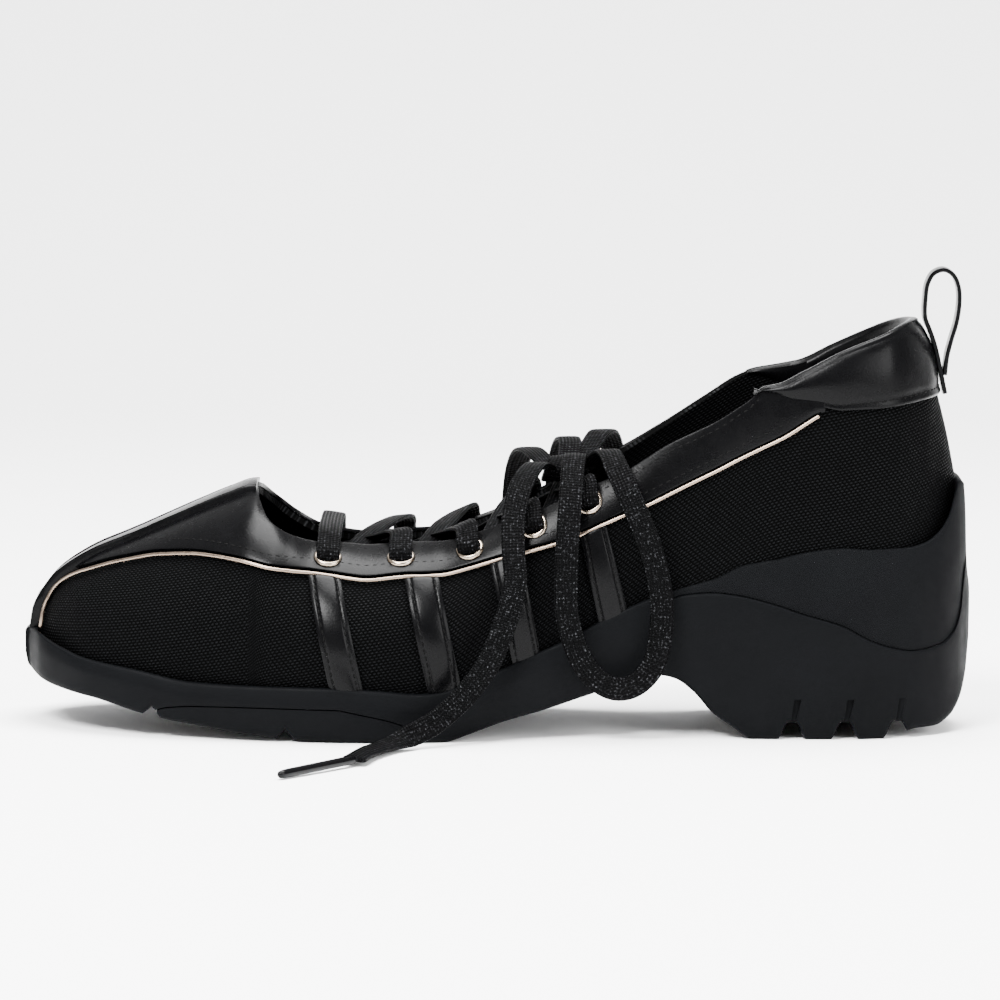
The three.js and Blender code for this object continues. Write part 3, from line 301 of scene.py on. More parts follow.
def skin(x: Array, turn: Array) -> Array:
    """Returns points of the last's skin: turn -1 outer feather edge, 0 ridge, 1 inner feather edge.

    Args:
        x: Places along the shoe, in millimetres from the toe tip.
        turn: Turns round the section: -1 outer feather edge, 0 ridge, 1 inner feather edge.

    Returns:
        Points, in millimetres.
    """
    side = np.where(turn < 0, -1.0, 1.0)
    ridge, half, base, widest, crown = last_halves(x, side)
    reach = np.abs(turn)
    angle = np.minimum(reach / LOW, 1) * np.pi / 2
    down = np.clip((reach - LOW) / (1 - LOW), 0, 1)
    y = ridge + side * half * np.sin(angle) * (1 - TUCK * down**2)
    z = np.where(reach <= LOW, widest + (crown - widest) * np.cos(angle), widest + (base - widest) * down)
    return np.stack([np.broadcast_to(x, y.shape), y, z], axis=-1)


def skin_normal(x: Array, turn: Array) -> Array:
    """Returns the outward directions of the last's skin at those points.

    Args:
        x: Places along the shoe, in millimetres from the toe tip.
        turn: Turns round the section: -1 outer feather edge, 0 ridge, 1 inner feather edge.

    Returns:
        Directions of length one.
    """
    step = 0.02
    along = skin(np.minimum(x + step, FINAL), turn) - skin(np.maximum(x - step, FIRST), turn)
    ahead, behind = np.minimum(turn + step / 4, 1), np.maximum(turn - step / 4, -1)
    normal = np.cross(along, skin(x, ahead) - skin(x, behind))
    return normal / np.maximum(np.linalg.norm(normal, axis=-1, keepdims=True), 1e-9)


def off_skin(x: Array, turn: Array, offset: Array) -> Array:
    """Returns points that stand off the last's skin by an offset."""
    return skin(x, turn) + skin_normal(x, turn) * np.asarray(offset)[..., None]


def turn_at(x: Array, z: Array, side: int) -> Array:
    """Returns the turn at which the skin has a height on one side.

    Args:
        x: Places along the shoe, in millimetres from the toe tip.
        z: Heights, in millimetres.
        side: The outer or the inner side.

    Returns:
        Turns, signed by side.
    """
    _, _, base, widest, crown = last_halves(x, np.full(np.shape(x), float(side)))
    down = np.clip((widest - z) / (widest - base), 0, 1)
    up = LOW * np.arccos(np.clip((z - widest) / (crown - widest), 0, 1)) / (np.pi / 2)
    return side * np.where(z < widest, LOW + (1 - LOW) * down, up)


def top_turn(x: Array, side: int) -> Array:
    """Returns the turn of the topline, or of the ridge where the last closes over the toe and heel."""
    return np.where(x < THROAT, 0.0, turn_at(x, topline(x, side), side))


def to_row(points: Array) -> Array:
    """Returns points of the shape, in millimetres from the toe tip, in metres in the row frame."""
    return (np.asarray(points, float) - [SHOE_LENGTH / 2, 0, 0]) / 1000


def smooth_route(points: Sequence[Sequence[float]], steps: int) -> Array:
    """Lays an even curve through points, as the part's source does.

    Args:
        points: The points that the curve passes.
        steps: How many even steps it is given.

    Returns:
        The points of the curve, one more than its steps.
    """
    p = np.array(points, float)
    p = np.vstack([2 * p[0] - p[1], p, 2 * p[-1] - p[-2]])
    knots = np.concatenate([[0], np.cumsum(np.sqrt(np.linalg.norm(np.diff(p, axis=0), axis=1)))])
    fine = []
    for i in range(1, len(p) - 2):
        t = np.linspace(knots[i], knots[i + 1], 24, endpoint=False)[:, None]
        k = knots[i - 1 : i + 3]
        a = [((k[j + 1] - t) * p[i - 1 + j] + (t - k[j]) * p[i + j]) / (k[j + 1] - k[j]) for j in range(3)]
        b = [((k[j + 2] - t) * a[j] + (t - k[j]) * a[j + 1]) / (k[j + 2] - k[j]) for j in range(2)]
        fine.append(((k[2] - t) * b[0] + (t - k[1]) * b[1]) / (k[2] - k[1]))
    fine = np.vstack([*fine, p[-2:-1]])
    run = np.concatenate([[0], np.cumsum(np.linalg.norm(np.diff(fine, axis=0), axis=1))])
    even = np.linspace(0, run[-1], steps + 1)
    return np.stack([np.interp(even, run, fine[:, c]) for c in range(3)], axis=1)


def length_of(points: Array) -> float:
    """Returns the length of a line of points."""
    return float(np.linalg.norm(np.diff(points, axis=0), axis=1).sum())


class Bench:
    """Tools of the workbench: primitives, modifiers, finishes and places of pieces."""

    @staticmethod
    def clear() -> None:
        """Leaves edit mode and deselects all."""
        if bpy.context.object and bpy.context.object.mode != "OBJECT":
            bpy.ops.object.mode_set(mode="OBJECT")
        bpy.ops.object.select_all(action="DESELECT")

    @staticmethod
    def active(piece: bpy.types.Object) -> None:
        """Selects one piece and makes it the active one.

        Args:
            piece: The piece.
        """
        Bench.clear()
        piece.select_set(True)
        bpy.context.view_layer.objects.active = piece

    @staticmethod
    def sheet(
        name: str, columns: int, rows: int, place: Place, flat: Optional[Place] = None
    ) -> bpy.types.Object:
        """Adds a grid and lays each of its points where the piece has it.

        Args:
            name: Name of the piece.
            columns: Cells along.
            rows: Cells across.
            place: Gives points in millimetres for shares along and across.
            flat: Gives the flat pattern's points in millimetres for the same shares.

        Returns:
            The sheet, which faces the way that along crossed with across points.
        """
        Bench.clear()
        bpy.ops.mesh.primitive_grid_add(x_subdivisions=columns, y_subdivisions=rows, size=1, calc_uvs=True)
        piece = bpy.context.object
        piece.name = piece.data.name = name
        count = len(piece.data.vertices)
        flat_places = np.empty(count * 3)
        piece.data.vertices.foreach_get("co", flat_places)
        flat_places = flat_places.reshape(-1, 3)
        along, across = flat_places[:, 0] + 0.5, flat_places[:, 1] + 0.5
        points = to_row(place(along, across))
        piece.data.vertices.foreach_set("co", points.ravel())
        layer = piece.data.uv_layers[0].uv
        corners = np.empty(len(piece.data.loops), int)
        piece.data.loops.foreach_get("vertex_index", corners)
        pattern = flat(along, across) if flat else np.stack([along, across], axis=1)
        layer.foreach_set("vector", pattern[corners].ravel())
        piece.data.update()
        return piece

    @staticmethod
    def apply(piece: bpy.types.Object, kind: str, **settings: object) -> None:
        """Adds a modifier with its settings and applies it.

        Args:
            piece: The piece.
            kind: Blender's name of the kind.
            settings: Settings by name.
        """
        Bench.active(piece)
        modifier = piece.modifiers.new(kind.title(), kind)
        for key, value in settings.items():
            setattr(modifier, key, value)
        bpy.ops.object.modifier_apply(modifier=modifier.name)

    @staticmethod
    def round_edges(piece: bpy.types.Object, width: float) -> None:
        """Rounds the sharp edges of a piece by a width in millimetres."""
        limit = float(np.radians(50))
        Bench.apply(piece, "BEVEL", width=width / 1000, segments=2, limit_method="ANGLE", angle_limit=limit)

    @staticmethod
    def edit(piece: bpy.types.Object, *steps: Callable[[], object]) -> None:
        """Runs edit-mode steps on the whole of a piece.

        Args:
            piece: The piece.
            steps: What is done, in order.
        """
        Bench.active(piece)
        bpy.ops.object.mode_set(mode="EDIT")
        bpy.ops.mesh.select_all(action="SELECT")
        for step in steps:
            step()
        bpy.ops.object.mode_set(mode="OBJECT")

    @staticmethod
    def weld(piece: bpy.types.Object, distance: float = 0.00002) -> None:
        """Joins the points of a piece that lie together."""
        Bench.edit(piece, lambda: bpy.ops.mesh.remove_doubles(threshold=distance))

    @staticmethod
    def close(piece: bpy.types.Object) -> None:
        """Welds a piece, fills its open ends and turns its faces outwards.

        Args:
            piece: The piece.
        """
        Bench.weld(piece)
        Bench.edit(
            piece,
            lambda: bpy.ops.mesh.fill_holes(sides=0),
            lambda: bpy.ops.mesh.normals_make_consistent(inside=False),
        )

    @staticmethod
    def join(name: str, pieces: Sequence[bpy.types.Object]) -> bpy.types.Object:
        """Joins pieces into one with a name.

        Args:
            name: Its name.
            pieces: The pieces, of which the first keeps its place.

        Returns:
            The joined piece.
        """
        Bench.active(pieces[0])
        for piece in pieces:
            piece.select_set(True)
        bpy.ops.object.join()
        joined = bpy.context.object
        joined.name = joined.data.name = name
        return joined

    @staticmethod
    def smooth(piece: bpy.types.Object, degrees: float = 40) -> None:
        """Shades a piece smooth, except over edges sharper than an angle."""
        Bench.active(piece)
        bpy.ops.object.shade_smooth_by_angle(angle=float(np.radians(degrees)))

    @staticmethod
    def fit(
        piece: bpy.types.Object, material: bpy.types.Material, slot: str, nodes: Sequence[
            str
        ] = (), *more: bpy.types.Material
    ) -> bpy.types.Object:
        """Gives a finished piece its materials, hangs it under the root and hides the solids that it stands
        for.

        Args:
            piece: The piece.
            material: The material of its first faces.
            slot: Not used.
            nodes: The solids that it stands for.
            more: Materials of the faces after the first.

        Returns:
            The piece itself.
        """
        piece.data.materials.clear()
        for one in (material, *more):
            piece.data.materials.append(one)
        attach(piece, "root")
        if nodes:
            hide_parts(*nodes)
        faces = sum(len(p.vertices) - 2 for p in piece.data.polygons)
        LOG.info("%s: %d triangles", piece.name, faces)
        return piece


def lay(name: str, points: Array, flat: Optional[Array] = None) -> bpy.types.Object:
    """Lays a grid on an array of points.

    Args:
        name: Name of the piece.
        points: Points in millimetres, by place along and place across.
        flat: The flat pattern's points for the same places, in millimetres.

    Returns:
        The sheet.
    """
    n, m = points.shape[0] - 1, points.shape[1] - 1
    spot = lambda a, b: (np.rint(a * n).astype(int), np.rint(b * m).astype(int))
    pattern = (lambda a, b: flat[spot(a, b)]) if flat is not None else None
    return Bench.sheet(name, n, m, lambda a, b: points[spot(a, b)], pattern)


def unit(v: Array) -> Array:
    """Returns directions of length one."""
    return v / np.maximum(np.linalg.norm(v, axis=-1, keepdims=True), 1e-9)


def flat_of(points: Array) -> Array:
    """Returns the flat pattern of a sheet: its run along the middle and its run across.

    Args:
        points: Points by place along and place across, in millimetres.

    Returns:
        Places on the flat pattern, in millimetres.
    """
    middle = points[:, points.shape[1] // 2]
    along = np.concatenate([[0], np.cumsum(np.linalg.norm(np.diff(middle, axis=0), axis=1))])
    steps = np.linalg.norm(np.diff(points, axis=1), axis=2)
    across = np.concatenate([np.zeros((len(points), 1)), np.cumsum(steps, axis=1)], axis=1)
    return np.stack([np.broadcast_to(along[:, None], across.shape), across], axis=-1)


def round_profile(width: float, height: float, sides: int, square: float = 1.0) -> Array:
    """Returns a closed section, round at square 1 and boxier below it.

    Args:
        width: Width of the section, in millimetres.
        height: Height of the section, in millimetres.
        sides: How many sides it has.
        square: 1 for a round section, less for a boxier one.

    Returns:
        Points of the section, across and up.
    """
    turn = np.linspace(0, 2 * np.pi, sides + 1)
    bend = lambda v: np.sign(v) * np.abs(v) ** square
    return np.stack([bend(np.cos(turn)) * width / 2, bend(np.sin(turn)) * height / 2], axis=1)


def sweep(path: Array, profile: Array, faces: Array, blunt: float = 0.6) -> Array:
    """Sweeps a closed section along a path and closes both ends.

    Args:
        path: Points of the path.
        profile: Points of the section, across and along the face's direction.
        faces: The way the face looks at each point of the path.
        blunt: How far the rounded ends stand out, in millimetres.

    Returns:
        Points by place along the path and round the section.
    """
    tangent = unit(np.gradient(path, axis=0))
    across = unit(np.cross(tangent, faces))
    face = np.cross(across, tangent)
    rings = path[:, None] + across[:, None] * profile[None, :, :1] + face[:, None] * profile[None, :, 1:]
    cap = lambda i, sign, share, out: path[i] + (rings[i] - path[i]) * share + sign * tangent[i] * out
    start = [cap(0, -1, 0, blunt), cap(0, -1, 0.6, blunt * 0.8)]
    end = [cap(-1, 1, 0.6, blunt * 0.8), cap(-1, 1, 0, blunt)]
    return np.concatenate([start, rings, end])


def ramp(value: Array, low: float, high: float) -> Array:
    """Returns 0 below low, 1 above high and a smooth rise between."""
    t = np.clip((np.asarray(value, float) - low) / (high - low), 0, 1)
    return t * t * (3 - 2 * t)


KNOT = (151.5, -4, 72.3)
LOOP_LATERAL = (
    (154.2, -9.2, 73.6), (154, -17.5, 77.2), (153.6, -25.5, 77.2), (152.8, -34, 70), (152, -38.6, 59),
    (151.5, -40.2, 46.5), (151.8, -40.8, 36), (153.8, -41, 28), (156.8, -40.6, 21.5), (161, -39.8, 17),
    (165.4, -39, 15), (169.8, -38.4, 15.6), (173.8, -37.8, 18.6), (176.3, -37.4, 23), (177.6, -37, 29.5),
    (178, -36.6, 37), (177, -37, 45), (174.6, -37.8, 54), (171.5, -37.2, 62), (168, -35, 69.5),
    (165.2, -30.5, 75.5), (163.4, -23.5, 78.8), (161.6, -15.5, 78), (158.2, -7.8, 73.8),
)
LOOP_MEDIAL = (
    (152.4, 1.5, 73.4), (153, 9.5, 77.8), (152.3, 17, 78.8), (151, 25, 76), (149.8, 31.5, 69),
    (149.2, 35.4, 59),
    (149.8, 36.8, 50), (152.5, 37.4, 43), (157.5, 37, 40), (162.5, 36.4, 42.5), (165.5, 36, 49),
    (166.2, 35.6, 58),
    (166, 34.4, 67), (165.2, 31, 74.5), (163.6, 25, 79.4), (161.4, 17, 80.6), (158.8, 9, 77.8),
    (155.8, 0.7, 73.4),
)
END_LATERAL = (
    (146.2, -7.4, 72.8), (143.6, -14.5, 74.6), (141.5, -21.5, 73.6), (139, -28.5, 69.8), (137, -35, 62),
    (137, -39.6, 52.5), (137.6, -42, 44.5), (135.8, -43.8, 37), (133.4, -45.2, 29.8), (130.9, -46.2, 23.7),
    (127.6, -47.2, 18.7), (122.3, -48.6, 12.5), (115, -51, 6.6), (105.5, -57, 2.6), (98.5, -70, 2),
    (94.6, -85, 2),
)
END_MEDIAL = (
    (146.4, 0.5, 73), (143.4, 7, 75.4), (141.2, 14, 76), (139.4, 21.5, 74), (137.8, 29, 68), (137, 35, 59),
    (136.8, 38.4, 50),
)
AGLET_LATERAL = ((94.6, -85, 2), (75.2, -109.5, 1.4))
AGLET_MEDIAL = ((136.8, 38.4, 50), (136.4, 41.4, 28))


@dataclass
class Lace:
    """The flat braided lace: bow, knot, aglets, and the strands between the eyelets."""

    width: float = LACE_WIDTH
    thickness: float = LACE_THICKNESS
    aglet_width: float = 2.6
    step: float = 1.1
    sides: int = 16

    def ribbon(
        self, name: str, path: Array, faces: Array, width: Optional[float] = None
    ) -> bpy.types.Object:
        """Sweeps the lace's flat section along a path.

        Args:
            name: Name of the piece.
            path: Points of its middle line.
            faces: The way its face looks at each of them.
            width: Its width where it is drawn together.

        Returns:
            The closed ribbon.
        """
        profile = round_profile(width or self.width, self.thickness, self.sides, 0.55)
        points = sweep(path, profile, faces)
        piece = lay(name, points, flat_of(points))
        Bench.close(piece)
        Bench.smooth(piece, 60)
        return piece

    def hanging_faces(self, path: Array, side: int) -> Array:
        """Returns the way a free lace's face looks: up over the knot and on the floor, outwards between.

        Args:
            path: Points of the middle line, in millimetres.
            side: The outer or the inner side.

        Returns:
            One direction for each point.
        """
        reach = np.arcsin(np.clip((path[:, 2] - self.thickness / 2) / (self.width / 2 + 0.1), 0, 1))
        lean = ramp(np.abs(path[:, 1]), 16, 36) * reach
        return np.stack([np.zeros(len(path)), side * np.sin(lean), np.cos(lean)], axis=1)

    def free(
        self, name: str, route: Sequence[Sequence[float]], side: int
    ) -> tuple[bpy.types.Object, Array]:
        """Builds one free stretch of the bow and returns it with its path.

        Args:
            name: Its name.
            route: Points that the lace passes.
            side: The outer or the inner side.

        Returns:
            The piece and the points of its middle line.
        """
        steps = round(length_of(smooth_route(route, 200)) / self.step)
        path = smooth_route(route, steps)
        return self.ribbon(name, path, self.hanging_faces(path, side)), path

    def aglet(self, name: str, ends: Sequence[Sequence[float]]) -> bpy.types.Object:
        """Builds the hard tip that is pressed on a lace's end.

        Args:
            name: Its name.
            ends: Its two ends.

        Returns:
            The aglet.
        """
        start, end = np.array(ends, float)
        share = np.array([0.02, 0.06, 0.12, 0.5, 0.85, 0.94, 0.985, 1.0])
        radius = np.array([0.92, 1.0, 0.97, 0.95, 0.95, 0.9, 0.72, 0.4]) * self.aglet_width / 2
        path = start + (end - start) * share[:, None]
        points = sweep(path, round_profile(2, 2, 20), np.tile([0.3, 0.1, 1.0], (len(path), 1)), 0.2)
        centre = np.concatenate([path[:1], path[:1], path, path[-1:], path[-1:]])[:, None]
        size = np.concatenate([radius[:1], radius[:1], radius, radius[-1:], radius[-1:]])[:, None, None]
        piece = lay(name, centre + (points - centre) * size)
        Bench.close(piece)
        Bench.smooth(piece, 50)
        return piece

    def knot(self) -> bpy.types.Object:
        """Builds the knot from a tight core and two turns of lace pulled round it.

        Returns:
            The knot.
        """
        centre = np.array(KNOT, float)
        Bench.clear()
        bpy.ops.mesh.primitive_uv_sphere_add(segments=32, ring_count=20, radius=0.001)
        core = bpy.context.object
        Bench.edit(core, lambda: bpy.ops.transform.resize(value=(5.6, 4.6, 2.7)))
        core.data.transform(Matrix.Translation(to_row(centre)))
        turns = []
        for shift, tilt, wide, tall, deep in ((-2.4, 0.35, 6.2, 3.1, 4.9), (2.9, -0.3, 5.6, 2.9, 4.6)):
            angle = np.linspace(0, 2 * np.pi, 49)
            spine = np.stack(
                [shift + tilt * np.sin(angle) * 4, deep * np.cos(angle), tall * np.sin(angle)], axis=1
            )
            out = unit(np.stack([0 * angle, np.cos(angle) / deep, np.sin(angle) / tall], axis=1))
            turns.append(self.ribbon(f"turn{shift}", centre + spine, out, wide))
        piece = Bench.join("lace_knot_wound", [core, *turns])
        Bench.smooth(piece, 60)
        return piece

    def bow(self, braid: bpy.types.Material, tip: bpy.types.Material) -> None:
        """Args:
            braid: Material of the lace.
            tip: Material of the aglets.
        """
        knot = Bench.fit(self.knot(), braid, "lace", ["lace_knot"])
        tips = {
            side: Bench.fit(
                self.aglet(f"aglet_{SIDES[side]}_tip", ends), tip, "aglet", [f"aglet_{SIDES[side]}"]
            )
            for side, ends in ((LATERAL, AGLET_LATERAL), (MEDIAL, AGLET_MEDIAL))
        }
        free = (
            ("loop", LATERAL, LOOP_LATERAL, "knot", [knot]),
            ("loop", MEDIAL, LOOP_MEDIAL, "knot", []),
            ("end", LATERAL, END_LATERAL, "fitting", [tips[LATERAL]]),
            ("end", MEDIAL, END_MEDIAL, "fitting", [tips[MEDIAL]]),
        )
        for kind, side, route, far_end, others in free:
            node = f"lace_{kind}_{SIDES[side]}"
            piece, path = self.free(f"{node}_braid", route, side)
            Bench.fit(piece, braid, "lace", [node])
            row = to_row(path)
            length_of(row)
            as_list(others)


def spaced(places: Sequence[float], step: float) -> Array:
    """Returns even steps between places, with the places themselves kept."""
    parts = [
        np.linspace(a, b, max(2, int(np.ceil((b - a) / step)) + 1))[:-1] for a, b in zip(places, places[1:])
    ]
    return np.concatenate([*parts, [places[-1]]])


def last_stations(start: float, end: float, step: float = 1.1) -> Array:
    """Returns places along the last, closer together at the steep toe and heel.

    Args:
        start: Where it starts.
        end: Where it ends.
        step: Usual distance between places, in millimetres.

    Returns:
        Places along the last, in millimetres.
    """
    toe = FIRST + (22 - FIRST) * np.linspace(0, 1, 30) ** 1.7
    heel = FINAL - (FINAL - 235) * np.linspace(1, 0, 46) ** 1.7
    middle = np.linspace(22, 235, int(213 / step))
    every = np.unique(np.concatenate([toe, middle, heel]))
    return np.array([start, *[x for x in every if start + 0.05 < x < end - 0.05], end])


@dataclass
class Sole:
    """Moulded rubber sole: midsole with lugs, knurled heel cradle and forefoot tread."""

    bevel: float = 1.8
    lip: float = 0.7
    parting: float = 0.3
    slot_depth: float = 2.0
    heel_notch: tuple[float, float] = (1.2, 3.7)
    tread_notch: float = 2.6

    def low(self, x: Array) -> Array:
        """Returns the height of the underside with its notches.

        Args:
            x: Places along the shoe, in millimetres from the toe tip.

        Returns:
            Heights of the underside.
        """
        level = underside(x)
        for at in HEEL_NOTCHES:
            gap = np.abs(x - at * SHOE_LENGTH)
            level = np.maximum(level, NOTCH_HEIGHT * (1 - ramp(gap, *self.heel_notch)))
        for at in TREAD_NOTCHES:
            gap = np.abs(x - at * SHOE_LENGTH)
            level = level + self.tread_notch * np.clip(1 - gap / self.tread_notch, 0, 1)
        return level

    def ring(self, x: Array, bottom: Array, top: Array, inset: float, lip: float, foot: float) -> Array:
        """Lays the sections of a part of the sole, round from the bottom's middle to the top's middle.

        Args:
            x: Places along the sole.
            bottom: Height of its lower edge there.
            top: Height of its upper edge there.
            inset: How far its side stands inside the sole's outline.
            lip: Radius of its upper edge.
            foot: Radius of its lower edge.

        Returns:
            Points by place and round the section.
        """
        tall = np.maximum(top - bottom, 0.4)
        foot = np.minimum(foot, tall / 3)
        lip = np.minimum(lip, tall / 3)
        low, high = underside(x), rim(x)
        halves = []
        for side in (LATERAL, MEDIAL):
            half = np.maximum(sole_half(x, side) - inset, 0.3)

            def wall(z: Array) -> Array:
                """Returns the side's distance from the middle at a height.

                Args:
                    z: Heights, in millimetres.

                Returns:
                    Distances from the middle.
                """
                share = np.clip((z - low) / np.maximum(high - low, 1), 0, 1)
                lean = SOLE_FLARE * (1 - np.clip(share * 1.5, 0, 1)) ** 1.3
                lean = lean + LEDGE * np.clip(share * 3 - 2, 0, 1) ** 1.5
                return half - np.minimum(lean, half * 0.5)

            points = [(np.maximum(wall(bottom) - foot - 1.0, 0) * s, bottom) for s in (0.0, 0.35, 0.7, 1.0)]
            for a in (0, 22.5, 45, 67.5, 90):
                z = bottom + foot * (1 - np.cos(np.radians(a)))
                points.append((wall(z) - foot * (1 - np.sin(np.radians(a))), z))
            for s in np.linspace(0, 1, 15)[1:-1]:
                z = bottom + foot + (tall - foot - lip) * s
                points.append((wall(z), z))
            for a in (0, 22.5, 45, 67.5, 90):
                z = top - lip * (1 - np.sin(np.radians(a)))
                points.append((wall(z) - lip * (1 - np.cos(np.radians(a))), z))
            points.append((np.maximum(wall(top) - lip - 1.6, 0), top))
            inner = np.maximum(wall(top) - lip - 2.6, 0)
            beyond = (x < FIRST - 0.3) | (x > FINAL + 0.3)
            floor = np.where(beyond, top, np.minimum(top, np.maximum(footbed(x) + 0.2, bottom + 0.3)))
            points += [(inner, floor), (inner * 0.6, floor), (inner * 0, floor)]
            halves.append([np.stack([x, side * y, z], axis=-1) for y, z in points])
        return np.stack([*halves[0], *halves[1][::-1]], axis=1)

    def part(self, name: str, points: Array) -> bpy.types.Object:
        """Builds a closed part of the sole from its sections, ends drawn shut.

        Args:
            name: Its name.
            points: Points by place along and place across, in millimetres.

        Returns:
            The closed piece.
        """
        centre = points.mean(axis=1, keepdims=True)
        wrapped = np.concatenate([points, points[:, :1]], axis=1)
        closed = np.concatenate(
            [
                np.broadcast_to(centre[:1], wrapped[:1].shape),
                wrapped,
                np.broadcast_to(centre[-1:], wrapped[-1:].shape),
            ]
        )
        piece = lay(name, closed)
        Bench.close(piece)
        Bench.smooth(piece, 42)
        return piece

    def stations(self, start: float, end: float) -> Array:
        """Returns places along the sole, close together at its ends and at its notches.

        Args:
            start: Where it starts.
            end: Where it ends.

        Returns:
            Places along the sole.
        """
        keys = {start, end}
        for at, reach in ((HEEL_NOTCHES, self.heel_notch), (TREAD_NOTCHES, (self.tread_notch, 0.0))):
            keys |= {a * SHOE_LENGTH + s * r for a in at for r in reach for s in (-1, 1)}
        base = [x for x in sorted(keys) if start <= x <= end]
        toe = 14 * np.linspace(0, 1, 26) ** 2
        heel = SHOE_LENGTH - 16 * np.linspace(1, 0, 30) ** 2
        fine = np.concatenate([spaced(base, 0.9), toe, heel])
        fine = np.unique(np.round(fine[(fine >= start) & (fine <= end)], 3))
        return np.clip(fine, start + 1e-4, end - 1e-4)

    def slots(self) -> bpy.types.Object:
        """Builds the cutters of the slanting slots over the heel's notches.

        Returns:
            The cutters as one piece.
        """
        cutters = []
        for at in HEEL_NOTCHES:
            x = at * SHOE_LENGTH
            for side in (LATERAL, MEDIAL):
                half = float(sole_half(np.array(x), side))
                Bench.clear()
                bpy.ops.mesh.primitive_cube_add(size=1)
                cutter = bpy.context.object
                outline = {-0.5: (x - 0.6, x + 0.6, 3.0), 0.5: (x + 0.5, x + 2.5, 11.3)}
                for v in cutter.data.vertices:
                    left, right, z = outline[v.co.z]
                    depth = half + 4 if v.co.y > 0 else half - self.slot_depth
                    v.co = to_row(np.array([left if v.co.x < 0 else right, side * depth, z]))
                Bench.edit(cutter, lambda: bpy.ops.mesh.normals_make_consistent(inside=False))
                cutters.append(cutter)
        return Bench.join("slot_cutters", cutters)

    def build(self, rubber: bpy.types.Material, knurl: bpy.types.Material) -> None:
        """Builds and dresses the three parts of the sole.

        Args:
            rubber: Material of the moulded rubber.
            knurl: Material of the knurled rubber.
        """
        x = self.stations(0.0, SHOE_LENGTH)
        wave_start, tread = WAVE.rows[0, 0] * SHOE_LENGTH, GROOVE.rows[:, 0] * SHOE_LENGTH
        wave = WAVE.read("height", x) * HEEL_RISE
        groove = GROOVE.read("height", x) * BALL_THICKNESS
        over = ramp(x, wave_start - 0.2, wave_start + 0.2)
        top = rim(x) * (1 - over) + np.minimum(wave, rim(x)) * over
        bottom = self.low(x)
        on_tread = (x > tread[0]) & (x < tread[-1] - 1)
        bottom = np.where(on_tread, np.maximum(groove + self.parting, bottom), bottom)
        midsole = self.part(
            "midsole_moulded",
            self.ring(
                x, bottom, np.maximum(top, bottom + 0.4), 0, self.lip, np.where(on_tread, 0.25, self.bevel)
            ),
        )
        cutters = self.slots()
        Bench.apply(midsole, "BOOLEAN", operation="DIFFERENCE", object=cutters, solver="EXACT")
        bpy.data.objects.remove(cutters)
        Bench.smooth(midsole, 42)
        Bench.fit(midsole, rubber, "rubber", ["midsole"])
        c = self.stations(wave_start, SHOE_LENGTH - 0.9)
        low = np.minimum(WAVE.read("height", c) * HEEL_RISE + 0.05, rim(c) - 0.3)
        cradle = self.part("heel_cradle_knurled", self.ring(c, low, rim(c), LEDGE, 0.8, 0.3))
        Bench.fit(cradle, knurl, "rubber", ["heel_cradle"])
        t = self.stations(float(tread[0]) + 0.4, float(tread[-1]) - 1)
        cap = np.maximum(GROOVE.read("height", t) * BALL_THICKNESS, self.low(t) + 0.4)
        forefoot = self.part(
            "forefoot_tread_moulded", self.ring(t, self.low(t), cap, 0.1, 0.25, self.bevel)
        )
        Bench.fit(forefoot, rubber, "rubber", ["forefoot_tread"])


def two_sides(
    name: str,
    build: Callable[[int], Array],
    wall: float = 0,
    bevel: float = 0,
    rim_inner: int = 0,
    pattern: Callable[[Array], Array] = flat_of,
) -> bpy.types.Object:
    """Builds a skin on both sides of the shoe and joins it along the ridge.

    Args:
        name: Name of the piece.
        build: Gives the points of one side by place along and from the bottom up.
        wall: Thickness given to it, inwards.
        bevel: Width of its rounded edges.
        rim_inner: Which material the inside takes, counted from the outside's.
        pattern: Gives the flat pattern of one side's points.

    Returns:
        The joined piece.
    """
    halves = []
    for side in (LATERAL, MEDIAL):
        points = build(side)
        flat = pattern(points)
        if side == MEDIAL:
            points, flat = points[::-1], flat[::-1]
        halves.append(lay(f"{name}_{SIDES[side]}", points, flat))
    piece = Bench.join(name, halves)
    Bench.weld(piece)
    if wall:
        Bench.apply(
            piece,
            "SOLIDIFY",
            thickness=wall / 1000,
            offset=-1.0,
            use_even_offset=False,
            material_offset=rim_inner,
        )
    if bevel:
        Bench.round_edges(piece, bevel)
    Bench.smooth(piece, 50)
    return piece


def between(x: Array, low: Array, high: Array, rows: int, offset: Callable[[Array], Array]) -> Array:
    """Lays points on the last's skin between two turns at each place along it.

    Args:
        x: Places along the shoe, in millimetres from the toe tip.
        low: Lower turn at each place.
        high: Upper turn at each place.
        rows: How many cells between them.
        offset: Gives how far the points stand off the skin, by share from low to high.

    Returns:
        Points by place along and share.
    """
    share = np.linspace(0, 1, rows + 1)
    turns = low[:, None] + (high - low)[:, None] * share
    wide = np.broadcast_to(x[:, None], turns.shape)
    return off_skin(wide, turns, np.broadcast_to(offset(share), turns.shape))


